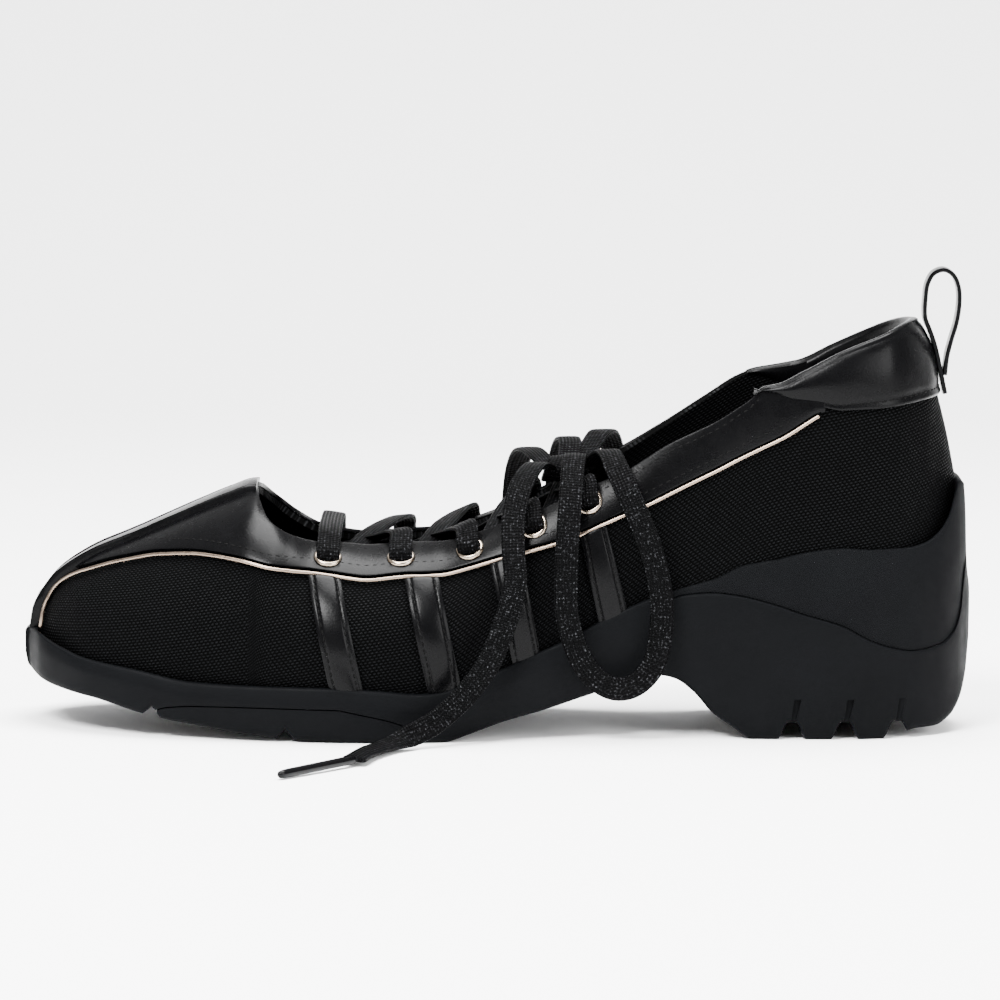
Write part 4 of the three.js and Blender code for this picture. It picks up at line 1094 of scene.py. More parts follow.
@dataclass
class Upper:
    """The lasted mesh body with its lining, and the leather laid over it."""

    overlay: float = 1.0
    edge: float = 0.3
    piping: float = 1.1
    strip_lift: float = 2.35
    seam_inset: float = 3.2
    edge_inset: float = 2.0
    stitch_lift: float = 0.12
    piping_gap: float = 1.05
    heel_turn: float = 226.0
    heel_radius: float = 30.0

    def body(self, side: int) -> Array:
        """Returns the points of the mesh body on one side.

        Args:
            side: The outer or the inner side.

        Returns:
            Points from the feather edge up.
        """
        x = last_stations(FIRST, FINAL)
        top = np.where(x > 252, 0.0, top_turn(x, side))
        return between(x, np.full(x.shape, float(side)), top, 40, lambda s: 0 * s)

    def cloth(self, points: Array) -> Array:
        """Returns the mesh's flat pattern, drawn round the heel so that its rows run level there.

        Args:
            points: Points by place along and place across, in millimetres.

        Returns:
            Places on the flat pattern, in millimetres.
        """
        flat = flat_of(points)
        x, y, z = np.moveaxis(points, -1, 0)
        start = int(np.argmin(np.abs(x[:, 0] - self.heel_turn + 16)))
        behind = np.arctan2(np.maximum(x - self.heel_turn, 0), np.abs(y) + 0.01)
        around = np.minimum(x, self.heel_turn) + self.heel_radius * behind - x[start, 0] + flat[start, 0, 0]
        share = ramp(x, self.heel_turn - 32, self.heel_turn)[..., None]
        return flat * (1 - share) + np.stack([around, z - z[start, 0]], axis=-1) * share

    def vamp(self, side: int) -> Array:
        """Returns the points of the vamp and facing overlay on one side.

        Args:
            side: The outer or the inner side.

        Returns:
            Points from the piping up.
        """
        x = last_stations(PIPING.rows[0, 0] * SHOE_LENGTH + 0.6, 222.5, 1.0)
        slope = np.gradient(piping_height(x), x)
        bottom = piping_height(x) + self.piping_gap * np.sqrt(1 + slope**2)
        cuff = np.where(x > 203, cuff_edge(x) + 1.2, 999)
        over = topline(x, side) + 0.15
        high = np.where(
            x < THROAT, 0.0, turn_at(x, np.maximum(np.minimum(over, cuff), bottom + 0.15), side)
        )
        low = turn_at(x, bottom, side)
        return between(x, low, high, 30, lambda s: OVERLAY_TOP + 0.25 * np.sin(np.pi * s) ** 0.8)

    def strip_points(self) -> Array:
        """Returns the points of the raised strip along the toe, with its bead edges.

        Returns:
            Points by place along and share across.
        """
        x = last_stations(4.3, THROAT + 0.4, 0.8)
        share = np.linspace(-1, 1, 45)
        ridge, _, _, _, _ = last_halves(x, np.ones_like(x))
        centre = np.interp(
            x,
            [FIRST, THROAT],
            [LAST.rows[0, 3] * BALL_WIDTH, float(LAST.read("ridge", THROAT)) * BALL_WIDTH],
        )
        half = np.interp(x, [FIRST, THROAT], [STRIP_TOE_WIDTH / 2, STRIP_WIDTH / 2])
        y = centre[:, None] + half[:, None] * share - ridge[:, None]
        side = np.where(y < 0, -1.0, 1.0)
        wide = np.broadcast_to(x[:, None], y.shape)
        _, width, _, _, _ = last_halves(wide, side)
        turn = side * LOW * np.arcsin(np.clip(np.abs(y) / np.maximum(width, 0.1), 0, 0.995)) / (np.pi / 2)
        edge = half[:, None] * (1 - np.abs(share))
        bead = 1.0 * np.exp(-((edge - 1.0) / 0.7) ** 2) - 0.3 * np.exp(-((edge - 2.6) / 0.5) ** 2)
        drop = -2.2 * np.exp(-edge / 0.22)
        return off_skin(wide, turn, self.strip_lift + bead + drop)

    def strap(self, i: int, side: int) -> tuple[Array, Callable[[Array, Array, float], Array]]:
        """Returns one side strap's points, and the place of shares of its width and height on it.

        Args:
            i: Which strap, counted from the toe.
            side: The outer or the inner side.

        Returns:
            The points, and the function that finds a place on the strap.
        """
        top, top_back, foot, foot_back = (share * SHOE_LENGTH for share in STRAPS.rows[i])

        def spot(w: Array, h: Array, lift: float = 0.0) -> Array:
            """Returns points at shares of the width and height.

            Args:
                w: Shares of the strap's width.
                h: Shares of the strap's height.
                lift: How far over the strap's face, in millimetres.

            Returns:
                Points on the strap.
            """
            low_x, high_x = foot + (foot_back - foot) * w, top + (top_back - top) * w
            x = low_x + (high_x - low_x) * h
            z = (rim(low_x) - 1.2) * (1 - h) + (piping_height(high_x) - 0.6) * h
            across = np.abs(2 * w - 1)
            crown = 0.7 * (1 - across**2.5) - 0.28 * np.exp(-((across - 0.68) / 0.07) ** 2)
            return off_skin(x, turn_at(x, z, side), OVERLAY_TOP - 0.1 + crown + lift)

        w, h = np.meshgrid(np.linspace(0, 1, 33), np.linspace(0, 1, 41), indexing="ij")
        return spot(w, h), spot

    def stitch_shape(self) -> tuple[Array, list[tuple[int, ...]]]:
        """Returns the points and faces of one stitch, 1 mm across.

        Returns:
            Points and faces of one stitch.
        """
        Bench.clear()
        bpy.ops.mesh.primitive_uv_sphere_add(segments=8, ring_count=5, radius=0.5)
        seed = bpy.context.object
        shape = np.array([v.co[:] for v in seed.data.vertices])
        faces = [tuple(p.vertices) for p in seed.data.polygons]
        bpy.data.objects.remove(seed)
        return shape, faces

    def stitches(
        self,
        name: str,
        points: Array,
        up: Array,
        pitch: float = 2.3,
        length: float = 1.5,
        width: float = 0.45,
    ) -> bpy.types.Object:
        """Sews a row of stitches along a line.

        Args:
            name: Name of the row.
            points: The line, in millimetres.
            up: The way the leather faces along it.
            pitch: From one stitch to the next.
            length: Length of one stitch.
            width: Width of one stitch.

        Returns:
            The row as one piece.
        """
        run = np.concatenate([[0], np.cumsum(np.linalg.norm(np.diff(points, axis=0), axis=1))])
        spots = np.arange(pitch / 2, run[-1], pitch)
        at = lambda table, s: np.stack([np.interp(s, run, table[:, c]) for c in range(3)], axis=1)
        shape, faces = self.stitch_shape()
        along = unit(at(points, spots + 0.4) - at(points, spots - 0.4))
        face = unit(at(up, spots))
        across = unit(np.cross(along, face))
        place = at(points, spots)
        size = np.array([width * 0.7, width, length])
        local = shape * size
        every = place[:, None] + local[
            None, :, 0:1
        ] * face[:, None] + local[None, :, 1:2] * across[:, None] + local[None, :, 2:3] * along[:, None]
        mesh = bpy.data.meshes.new(name)
        count = len(shape)
        mesh.from_pydata(
            to_row(every.reshape(-1, 3)),
            [],
            [tuple(v + count * k for v in f) for k in range(len(spots)) for f in faces],
        )
        piece = bpy.data.objects.new(name, mesh)
        bpy.context.scene.collection.objects.link(piece)
        Bench.edit(piece, lambda: bpy.ops.mesh.normals_make_consistent(inside=False))
        Bench.smooth(piece, 80)
        return piece

    def seam(
        self, name: str, x: Array, z: Array, side: int, lift: float, **sizes: float
    ) -> bpy.types.Object:
        """Sews a row on the skin at heights along one side."""
        turn = turn_at(x, z, side)
        return self.stitches(name, off_skin(x, turn, np.full(x.shape, lift)), skin_normal(x, turn), **sizes)

    def build(
        self,
        mesh: bpy.types.Material,
        lining: bpy.types.Material,
        leather: bpy.types.Material,
        thread: bpy.types.Material,
        metal: bpy.types.Material,
    ) -> None:
        """Builds and dresses the upper.

        Args:
            mesh: Material of the mesh.
            lining: Material of the lining.
            leather: Material of the leather.
            thread: Material of the thread.
            metal: Material of the metal.
        """
        body = two_sides("upper_mesh", self.body, UPPER_WALL, 0, 1, self.cloth)
        Eyestay().punch(body)
        Bench.fit(body, mesh, "mesh", ["upper"], lining)
        vamp = two_sides("vamp_leather", self.vamp, self.overlay, self.edge)
        Eyestay().punch(vamp)
        Bench.fit(vamp, leather, "leather", ["vamp_overlay"])
        strip = lay("toe_strip_leather", self.strip_points())
        Bench.apply(strip, "SOLIDIFY", thickness=0.0009, offset=-1.0)
        Bench.smooth(strip, 60)
        Bench.fit(strip, leather, "leather", ["toe_centre_strip"])
        rows = []
        for side in (LATERAL, MEDIAL):
            self.trim(side, metal)
            x = np.linspace(9, 216, 500)
            slope = np.gradient(piping_height(x), x)
            rows.append(
                self.seam(
                    "row",
                    x,
                    piping_height(x) + self.seam_inset * np.sqrt(1 + slope**2),
                    side,
                    OVERLAY_TOP + self.stitch_lift,
                )
            )
            x = np.linspace(160, 205, 150)
            rows.append(
                self.seam(
                    "row", x, topline(x, side) - self.edge_inset, side, OVERLAY_TOP + self.stitch_lift
                )
            )
            for i in range(len(STRAPS.rows)):
                points, spot = self.strap(i, side)
                name = f"side_strap_{SIDES[side]}_{i + 1}"
                flip = points if side == LATERAL else points[::-1]
                piece = lay(f"{name}_leather", flip, flat_of(flip))
                Bench.apply(piece, "SOLIDIFY", thickness=0.001, offset=-1.0)
                Bench.round_edges(piece, self.edge)
                Bench.smooth(piece, 50)
                Bench.fit(piece, leather, "leather", [name])
                for w in (0.16, 0.84):
                    h = np.linspace(0.03, 0.97, 60)
                    line = spot(np.full(h.shape, w), h, 0.1)
                    above = spot(np.full(h.shape, w), h, 1.1)
                    rows.append(self.stitches("row", line, above - line, pitch=2.0, length=1.3, width=0.5))
        Bench.fit(Bench.join("leather_stitches", rows), thread, "leather")

    def trim(self, side: int, metal: bpy.types.Material) -> None:
        """Builds the pale piping on one side.

        Args:
            side: The outer or the inner side.
            metal: Material of the metal.
        """
        x = np.array(
            [*last_stations(PIPING.rows[0, 0] * SHOE_LENGTH, PIPING.rows[-1, 0] * SHOE_LENGTH, 1.2)]
        )
        turn = turn_at(x, piping_height(x), side)
        path = off_skin(x, turn, np.full(x.shape, PIPING_DIAMETER / 2 + CLEARANCE))
        points = sweep(path, round_profile(self.piping, self.piping, 14), skin_normal(x, turn), 0.3)
        piece = lay(f"piping_{SIDES[side]}_foil", points)
        Bench.close(piece)
        Bench.smooth(piece, 60)
        Bench.fit(piece, metal, "piping", [f"piping_{SIDES[side]}"])


@dataclass
class Collar:
    """Padded cuff round the collar, and the pull loop behind it."""

    pivot: float = 226.0
    front: float = 203.0
    straight: float = 0.42
    pad: float = 1.15
    loop_width: float = 8.0
    loop_thickness: float = 1.3
    loop_reach: float = 9.5
    loop_rise: float = 13.4

    def ray(self, s: Array, z: Array) -> Array:
        """Finds the skin at heights, walking round the heel from the outer side to the inner one.

        Args:
            s: -1 to 1: the front of the cuff outside, the back at 0, the front inside.
            z: The height at each place.

        Returns:
            Points on the last's skin.
        """
        reach = np.abs(s)
        ahead = np.clip((reach - self.straight) / (1 - self.straight), 0, 1)
        angle = np.clip(reach / self.straight, 0, 1) * np.pi / 2
        side = np.where(s < 0, -1.0, 1.0)
        start = self.pivot - (self.pivot - self.front) * ahead
        out_x, out_y = np.cos(angle), side * np.sin(angle)
        low, high = np.zeros(s.shape), np.full(s.shape, 60.0)
        for _ in range(26):
            mid = (low + high) / 2
            x, y = start + out_x * mid, out_y * mid
            ridge, half, _, widest, crown = last_halves(np.minimum(x, FINAL), side)
            up = np.clip((z - widest) / (crown - widest), 0, None)
            width = np.where(up < 1, half * np.sqrt(np.clip(1 - up**2, 0, 1)), -1)
            inside = (np.abs(y - ridge) < width) & (x < FINAL)
            low, high = np.where(inside, mid, low), np.where(inside, high, mid)
        return np.stack([start + out_x * low, out_y * low, z], axis=-1)

    def wall(self, s: Array, share: Array) -> tuple[Array, Array]:
        """Returns the skin between the cuff's lower edge and the topline, and each point's side.

        Args:
            s: -1 to 1 round the heel from the outer front to the inner front.
            share: Share from the lower edge to the topline.

        Returns:
            The points, and the side of each.
        """
        x = np.full(s.shape, 230.0)
        side = np.where(s < 0, LATERAL, MEDIAL)
        for _ in range(5):
            top = np.where(side < 0, topline(x, LATERAL), topline(x, MEDIAL))
            low = cuff_edge(x)
            point = self.ray(s, low + (top - low) * share)
            x = point[..., 0]
        return point, side

    def surface(self, columns: int = 150) -> Array:
        """Returns the cuff's points: up its padded outside, over the edge and down the lining.

        Args:
            columns: How many cells round the heel.

        Returns:
            Points round and over the cuff.
        """
        s = np.linspace(-1, 1, columns + 1)
        outside = [(0.0, 0.3), (0.0, 0.85), (0.02, 1.15), (0.05, 1.25), (0.09, 1.1), (0.12, 1.1)]
        outside += [
            (t, 1.2 + self.pad * np.sin(np.pi * ((t - 0.1) / 0.9) ** 1.25) ** 0.8)
            for t in np.linspace(0.16, 0.9, 14)
        ]
        outside += [(0.94, 1.5), (0.97, 1.15), (0.985, 1.0)]
        rolled = [
            (1.0, 0.9, 0.35), (1.0, 0.2, 0.7), (1.0, -0.7, 0.75), (1.0, -1.5, 0.35), (1.0, -2.0, -0.5)
        ]
        inside = [(t, -2.3 - 0.5 * np.sin(np.pi * t)) for t in np.linspace(0.93, 0.1, 8)]
        lines = []
        for spot in [*outside, *rolled, *inside]:
            share, offset, lift = (*spot, 0.0)[:3]
            point, _ = self.wall(s, np.full(s.shape, share))
            plan = np.gradient(point[:, :2], axis=0)
            way = unit(np.stack([plan[:, 1], -plan[:, 0], 0 * s], axis=1))
            lines.append(point + way * offset + [0, 0, lift])
        return np.stack(lines, axis=1)

    def loop(self) -> bpy.types.Object:
        """Builds the thin pull loop from one folded strap.

        Returns:
            The pull loop.
        """
        seat = 2 * CLEARANCE + CUFF_THICKNESS + 0.75
        leg = off_skin(
            np.array([0.964, 0.957, 0.95, 0.944, 0.939]) * SHOE_LENGTH,
            np.zeros(5),
            seat - np.array([0.9, 0.5, 0.1, 0, 0]),
        )
        _, back, up = PULL.rows.T
        bend = leg[-1] + np.stack([back * self.loop_reach, 0 * back, up * self.loop_rise], axis=1)
        path = smooth_route(np.vstack([leg, bend]), 120)
        tangent = unit(np.gradient(path, axis=0))
        points = sweep(
            path,
            round_profile(self.loop_width, self.loop_thickness, 20, 0.35),
            np.cross(tangent, [0.0, 1.0, 0.0]),
            0.3,
        )
        piece = lay("pull_loop_strap", points, flat_of(points))
        Bench.close(piece)
        Bench.smooth(piece, 50)
        return piece

    def build(self, leather: bpy.types.Material, thread: bpy.types.Material) -> None:
        """Builds and dresses the cuff and the pull loop.

        Args:
            leather: Material of the leather.
            thread: Material of the thread.
        """
        points = self.surface()
        cuff = lay("collar_cuff_padded", points, flat_of(points))
        Bench.smooth(cuff, 70)
        Bench.fit(cuff, leather, "leather", ["collar_cuff"])
        s = np.linspace(-0.97, 0.97, 400)
        line, _ = self.wall(s, np.full(s.shape, 0.1))
        plan = np.gradient(line[:, :2], axis=0)
        way = unit(np.stack([plan[:, 1], -plan[:, 0], 0 * s], axis=1))
        row = Upper().stitches("cuff_stitches", line + way * 1.12, way)
        Bench.fit(row, thread, "leather")
        Bench.fit(self.loop(), leather, "leather", ["pull_loop"])


@dataclass
class Eyestay:
    """Metal eyelets and the lace between them."""

    seat: float = 1.65
    hole: float = 2.9
    pin: float = 9.0

    def place(self, at: float, side: int) -> tuple[Array, Array]:
        """Returns an eyelet's centre on the skin and its axis.

        Args:
            at: The eyelet's place as a share of the shoe's length.
            side: The outer or the inner side.

        Returns:
            The centre and the axis.
        """
        x = np.array([at * SHOE_LENGTH])
        turn = turn_at(x, topline(x, side) - EYELET_EDGE, side)
        return skin(x, turn)[0], skin_normal(x, turn)[0]

    def punch(self, piece: bpy.types.Object) -> None:
        """Punches the eyelets' holes through a piece.

        Args:
            piece: The piece.
        """
        pins = []
        for side in (LATERAL, MEDIAL):
            for at in EYELETS:
                centre, axis = self.place(at, side)
                Bench.clear()
                turn = Vector(axis).to_track_quat("Z", "Y").to_euler()
                bpy.ops.mesh.primitive_cylinder_add(
                    vertices=32, radius=self.hole / 1000, depth=self.pin / 1000, location=tuple(
                        to_row(centre)
                    ), rotation=turn
                )
                pins.append(bpy.context.object)
        cutter = Bench.join("eyelet_pins", pins)
        Bench.apply(piece, "BOOLEAN", operation="DIFFERENCE", object=cutter, solver="EXACT")
        bpy.data.objects.remove(cutter)
        Bench.smooth(piece, 50)

    def eyelet(self, at: float, side: int) -> bpy.types.Object:
        """Spins one rolled metal ring with its barrel.

        Args:
            at: The eyelet's place as a share of the shoe's length.
            side: The outer or the inner side.

        Returns:
            The ring.
        """
        centre, axis = self.place(at, side)
        section = np.array([
            (2.75, -2.2), (2.75, 0.1), (2.82, 0.4), (3.0, 0.6), (3.25, 0.68), (3.55, 0.6), (3.8, 0.35),
            (3.95, 0.08),
            (3.98, -0.1), (3.85, -0.2), (3.5, 0.0), (3.0, 0.0), (2.95, -2.2), (2.75, -2.2),
        ])
        turn = np.linspace(0, 2 * np.pi, 41)
        first = unit(np.cross(axis, [1.0, 0.0, 0.0]))
        second = np.cross(axis, first)
        spoke = np.cos(turn)[:, None] * first + np.sin(turn)[:, None] * second
        points = centre + axis * self.seat + spoke[:, None] * section[
            None, :, :1
        ] + axis * section[None, :, 1:]
        piece = lay(f"eyelet_{SIDES[side]}_{EYELETS.index(at) + 1}_metal", points)
        Bench.weld(piece)
        Bench.edit(piece, lambda: bpy.ops.mesh.normals_make_consistent(inside=False))
        Bench.smooth(piece, 60)
        return piece

    def end_over(self, at: float, side: int) -> list[tuple[Array, Array]]:
        """Returns the lace's points and faces from the throat over the edge into an eyelet.

        Args:
            at: The eyelet's place as a share of the shoe's length.
            side: The outer or the inner side.

        Returns:
            Points and the lace's face at each.
        """
        centre, axis = self.place(at, side)
        x = np.array([at * SHOE_LENGTH])
        turn = turn_at(x, topline(x, side), side)
        edge, normal = skin(x, turn)[0], skin_normal(x, turn)[0]
        down = unit(centre - edge)
        return [
            (edge + normal * 4.6, normal),
            (centre + axis * 4.5 - down * 1.6, axis),
            (centre + axis * 3.9 + down * 0.7, unit(axis + down * 0.7)),
            (centre + axis * 1.9 + down * 1.3, unit(axis * 0.2 + down)),
            (centre - axis * 1.6 + down * 0.9, down),
        ]

    def strand(self, name: str, spots: Sequence[tuple[Array, Array]], lace: Lace) -> bpy.types.Object:
        """Sweeps the lace along spots, drawn together where it goes into an eyelet.

        Args:
            name: Its name.
            spots: Points and the lace's face there.
            lace: The lace's sizes.

        Returns:
            The closed strand.
        """
        path = np.array([p for p, _ in spots])
        faces = np.array([f for _, f in spots])
        fine = smooth_route(path, 90)
        run = np.concatenate([[0], np.cumsum(np.linalg.norm(np.diff(fine, axis=0), axis=1))])
        marks = [run[np.argmin(np.linalg.norm(fine - p, axis=1))] for p in path]
        blend = unit(np.stack([np.interp(run, marks, faces[:, c]) for c in range(3)], axis=1))
        profile = round_profile(lace.width, lace.thickness, lace.sides, 0.55)
        points = sweep(fine, profile, blend, 0.3)
        narrow = lambda mark: 1 - 0.3 * (1 - ramp(np.abs(run - mark), 0.5, 3.2))
        ends = [marks[-1], marks[0]] if name.startswith("bar") else [marks[-1]]
        size = np.min(
            [np.where((run > m) if m > run[-1] / 2 else (run < m), 0.7, narrow(m)) for m in ends], axis=0
        )
        size = np.concatenate([size[:1], size[:1], size, size[-1:], size[-1:]])
        centre = np.concatenate([fine[:1], fine[:1], fine, fine[-1:], fine[-1:]])
        offset = points - centre[:, None]
        tangent = unit(np.gradient(centre + 1e-6 * np.arange(len(centre))[:, None], axis=0))
        face = np.concatenate([blend[:1], blend[:1], blend, blend[-1:], blend[-1:]])
        across = unit(np.cross(tangent, face))[:, None]
        wide = (offset * across).sum(-1, keepdims=True) * across
        thick = 1 + (1 - size[:, None, None]) * 0.9
        points = centre[:, None] + wide * size[:, None, None] + (offset - wide) * thick
        piece = lay(name, points, flat_of(points))
        Bench.close(piece)
        Bench.smooth(piece, 60)
        return piece

    def build(self, metal: bpy.types.Material, braid: bpy.types.Material) -> None:
        """Builds and dresses the eyelets and the lace across the throat.

        Args:
            metal: Material of the metal.
            braid: Material of the lace.
        """
        lace = Lace()
        for side in (LATERAL, MEDIAL):
            for i, at in enumerate(EYELETS):
                Bench.fit(self.eyelet(at, side), metal, "eyelet", [f"eyelet_{SIDES[side]}_{i + 1}"])
        outer, inner = self.end_over(EYELETS[0], LATERAL), self.end_over(EYELETS[0], MEDIAL)
        middle = (outer[0][0] + inner[0][0]) / 2 + [0, 0, 1.2]
        bar = self.strand("bar", [*outer[::-1], (middle, np.array([0, 0, 1.0])), *inner], lace)
        bar.name = bar.data.name = "lace_bar_braid"
        Bench.fit(bar, braid, "lace", ["lace_bar"])
        for i in range(len(EYELETS) - 1):
            strands = []
            for side in (LATERAL, MEDIAL):
                near, _ = self.place(EYELETS[i], side)
                end = self.end_over(EYELETS[i + 1], -side)
                x = (EYELETS[i] + 0.25 * (EYELETS[i + 1] - EYELETS[i])) * SHOE_LENGTH
                turn = turn_at(np.array([x]), topline(np.array([x]), side), side)
                edge = skin(np.array([x]), turn)[0]
                up = np.array([0, 0, 1.0])
                lift = 0.8 if side == LATERAL else -0.7
                centre, axis = self.place(EYELETS[i], side)
                start = [
                    (centre - axis * 2.6, np.array([0, side * 1.0, 0.3])),
                    (edge + np.array([0.5, -side * 6.0, -2.6]), unit(np.array([0, side * 0.5, 1.0]))),
                ]
                middle = (start[1][0] + end[0][0]) / 2 + [0, 0, 1.0 + lift]
                strands.append(self.strand(f"strand{i}{side}", [*start, (middle, up), *end], lace))
            crossing = Bench.join(f"lace_crossing_{i + 1}_braid", strands)
            Bench.fit(crossing, braid, "lace", [f"lace_crossing_{i + 1}"])


@dataclass
class Insole:
    """Crowned cushion on the footbed."""

    top: float = 3.5
    thickness: float = 2.4
    gap: float = 1.5
    back: float = 246.0

    def build(self, lining: bpy.types.Material) -> None:
        """Builds and dresses the insole.

        Args:
            lining: Material of the lining.
        """
        x = np.linspace(FIRST + 5, self.back, 180)
        share = np.linspace(-1, 1, 25)
        side = np.where(share < 0, -1.0, 1.0)
        ridge, half, _, _, _ = last_halves(x[:, None] + 0 * share, side + 0 * x[:, None])
        y = ridge + share * np.maximum(half - UPPER_WALL - self.gap, 0.3)
        z = footbed(x)[:, None] + self.top - 0.5 * np.abs(share) ** 6 + 0 * y
        points = np.stack([np.broadcast_to(x[:, None], y.shape), y, z], axis=-1)
        piece = lay("insole_cloth", points, flat_of(points))
        Bench.apply(piece, "SOLIDIFY", thickness=self.thickness / 1000, offset=-1.0)
        Bench.smooth(piece, 50)
        Bench.fit(piece, lining, "lining", ["insole"])


TURN = 6.2832


class Paint:
    """A material's node tree under construction."""

    def __init__(self, name: str, **surface: object) -> None:
        """Starts a material with its shader's own values, by socket name with underscores.

        Args:
            name: Its name.
            surface: Values of the shader's sockets, by name with underscores.
        """
        self.material = bpy.data.materials.new(name)
        self.material.use_nodes = True
        self.nodes = self.material.node_tree.nodes
        self.links = self.material.node_tree.links
        self.shader = self.nodes["Principled BSDF"]
        for key, value in surface.items():
            self.shader.inputs[key.replace("_", " ")].default_value = value
        self.coordinates = self.nodes.new("ShaderNodeTexCoord")

    def node(
        self, kind: str, settings: Optional[dict[str, object]] = None, **inputs: object
    ) -> bpy.types.Node:
        """Adds a node with its settings and inputs; an input is a value or another node's output.

        Args:
            kind: Blender's name of the kind.
            settings: Settings by name.
            inputs: Inputs by name, or by number after an i.

        Returns:
            The node.
        """
        made = self.nodes.new("ShaderNode" + kind)
        for key, value in (settings or {}).items():
            setattr(made, key, value)
        for key, value in inputs.items():
            self.feed(made.inputs[int(key[1:]) if key[1:].isdigit() else key.replace("_", " ")], value)
        return made

    def feed(self, socket: bpy.types.NodeSocket, value: object) -> None:
        """Links an output to a socket, or sets the socket's value.

        Args:
            socket: The socket that is fed.
            value: A value or another node's output.
        """
        if isinstance(value, bpy.types.NodeSocket):
            self.links.new(value, socket)
        else:
            socket.default_value = value

    def sum(self, operation: str, first: object, second: object = 0.0) -> bpy.types.NodeSocket:
        """Adds a math node and returns its result."""
        return self.node("Math", {"operation": operation}, i0=first, i1=second).outputs[0]

    def wave(self, first: object, pace: float, second: object, slope: float) -> bpy.types.NodeSocket:
        """Returns a sine wave that runs slanting over two axes."""
        run = self.sum("ADD", self.sum("MULTIPLY", first, pace), self.sum("MULTIPLY", second, slope))
        return self.sum("SINE", run)

    def noise(self, scale: float, detail: float = 3, roughness: float = 0.6) -> bpy.types.NodeSocket:
        """Returns noise on Object coordinates; the scale is in grains a metre."""
        made = self.node(
            "TexNoise",
            Vector=self.coordinates.outputs["Object"],
            Scale=scale,
            Detail=detail,
            Roughness=roughness,
        )
        return made.outputs["Fac"]

    def spread(
        self, value: object, low: float, high: float, to_low: float = 0, to_high: float = 1
    ) -> bpy.types.NodeSocket:
        """Returns a value spread from one range to another and held inside it."""
        made = self.node("MapRange", None, i0=value, i1=low, i2=high, i3=to_low, i4=to_high)
        return made.outputs[0]

    def blend(self, share: object, dark: Sequence[float], light: Sequence[float]) -> bpy.types.NodeSocket:
        """Returns a colour between two.

        Args:
            share: Share of the light colour.
            dark: The colour at 0.
            light: The colour at 1.

        Returns:
            The mixed colour.
        """
        made = self.node("Mix", {"data_type": "RGBA"}, Factor=share)
        made.inputs[6].default_value = (*dark, 1)
        made.inputs[7].default_value = (*light, 1)
        return made.outputs[2]

    def split(self, source: str) -> list[bpy.types.NodeSocket]:
        """Returns the axes of the UV or Object coordinates."""
        return list(self.node("SeparateXYZ", Vector=self.coordinates.outputs[source]).outputs)

    def bump(self, height: object, distance: float, strength: float = 1.0) -> None:
        """Adds relief; the distance is in millimetres.

        Args:
            height: The relief, from 0 to 1.
            distance: Depth of the relief, in millimetres.
            strength: Share of the relief that shows.
        """
        made = self.node("Bump", Height=height, Distance=distance / 1000, Strength=strength)
        old = self.shader.inputs["Normal"]
        if old.is_linked:
            self.feed(made.inputs["Normal"], old.links[0].from_socket)
        self.feed(old, made.outputs[0])


@dataclass(frozen=True)
class Leather:
    """Smooth black leather with a fine grain and a soft polish."""

    name: str = "black_leather"
    dark: tuple[float, float, float] = (0.0004, 0.0004, 0.0005)
    light: tuple[float, float, float] = (0.0013, 0.0013, 0.0015)
    roughness: float = 0.26

    def build(self) -> bpy.types.Material:
        """Returns the material.

        Returns:
            The material.
        """
        paint = Paint(self.name, Specular_IOR_Level=0.052)
        cloud = paint.noise(60, 4)
        pores = paint.node(
            "TexVoronoi", Vector=paint.coordinates.outputs["Object"], Scale=1900.0
        ).outputs["Distance"]
        paint.feed(paint.shader.inputs["Base Color"], paint.blend(cloud, self.dark, self.light))
        rough = paint.spread(paint.noise(240), 0.3, 0.7, self.roughness - 0.02, self.roughness + 0.05)
        paint.feed(paint.shader.inputs["Roughness"], rough)
        paint.bump(paint.noise(90, 1), 0.25, 0.3)
        paint.bump(pores, 0.05, 0.35)
        return paint.material


@dataclass(frozen=True)
class Knit:
    """Black spacer mesh: staggered rows of small shiny stitches with holes between, on the flat pattern."""

    name: str = "black_mesh"
    pitch: float = 1.25
    row: float = 0.85
    slant: float = -0.22

    def build(self) -> bpy.types.Material:
        """Returns the material.

        Returns:
            The material.
        """
        paint = Paint(self.name, Specular_IOR_Level=0.02)
        u, v, _ = paint.split("UV")
        across = paint.sum("ADD", v, paint.sum("MULTIPLY", u, self.slant))
        rows = paint.sum("DIVIDE", across, self.row)
        shift = paint.sum("MULTIPLY", paint.sum("MODULO", paint.sum("FLOOR", rows), 2.0), 0.5)
        cells = paint.sum("ADD", paint.sum("DIVIDE", u, self.pitch), shift)
        x = paint.sum("SUBTRACT", paint.sum("FRACT", cells), 0.5)
        y = paint.sum("SUBTRACT", paint.sum("FRACT", rows), 0.5)
        wide = paint.sum("POWER", paint.sum("ABSOLUTE", x), 2.0)
        tall = paint.sum("POWER", paint.sum("ABSOLUTE", y), 2.0)
        far = paint.sum("ADD", wide, paint.sum("MULTIPLY", tall, 1.5))
        stitch = paint.spread(far, 0.02, 0.2, 1.0, 0.0)
        uneven = paint.spread(paint.noise(320), 0.3, 0.7, 0.6, 1.0)
        height = paint.sum("MULTIPLY", stitch, uneven)
        paint.feed(
            paint.shader.inputs["Base Color"],
            paint.blend(height, (0.0001, 0.0001, 0.0001), (0.0031, 0.0033, 0.0037)),
        )
        paint.feed(paint.shader.inputs["Roughness"], paint.spread(height, 0.0, 1.0, 0.9, 0.36))
        paint.bump(height, 0.35, 0.9)
        return paint.material


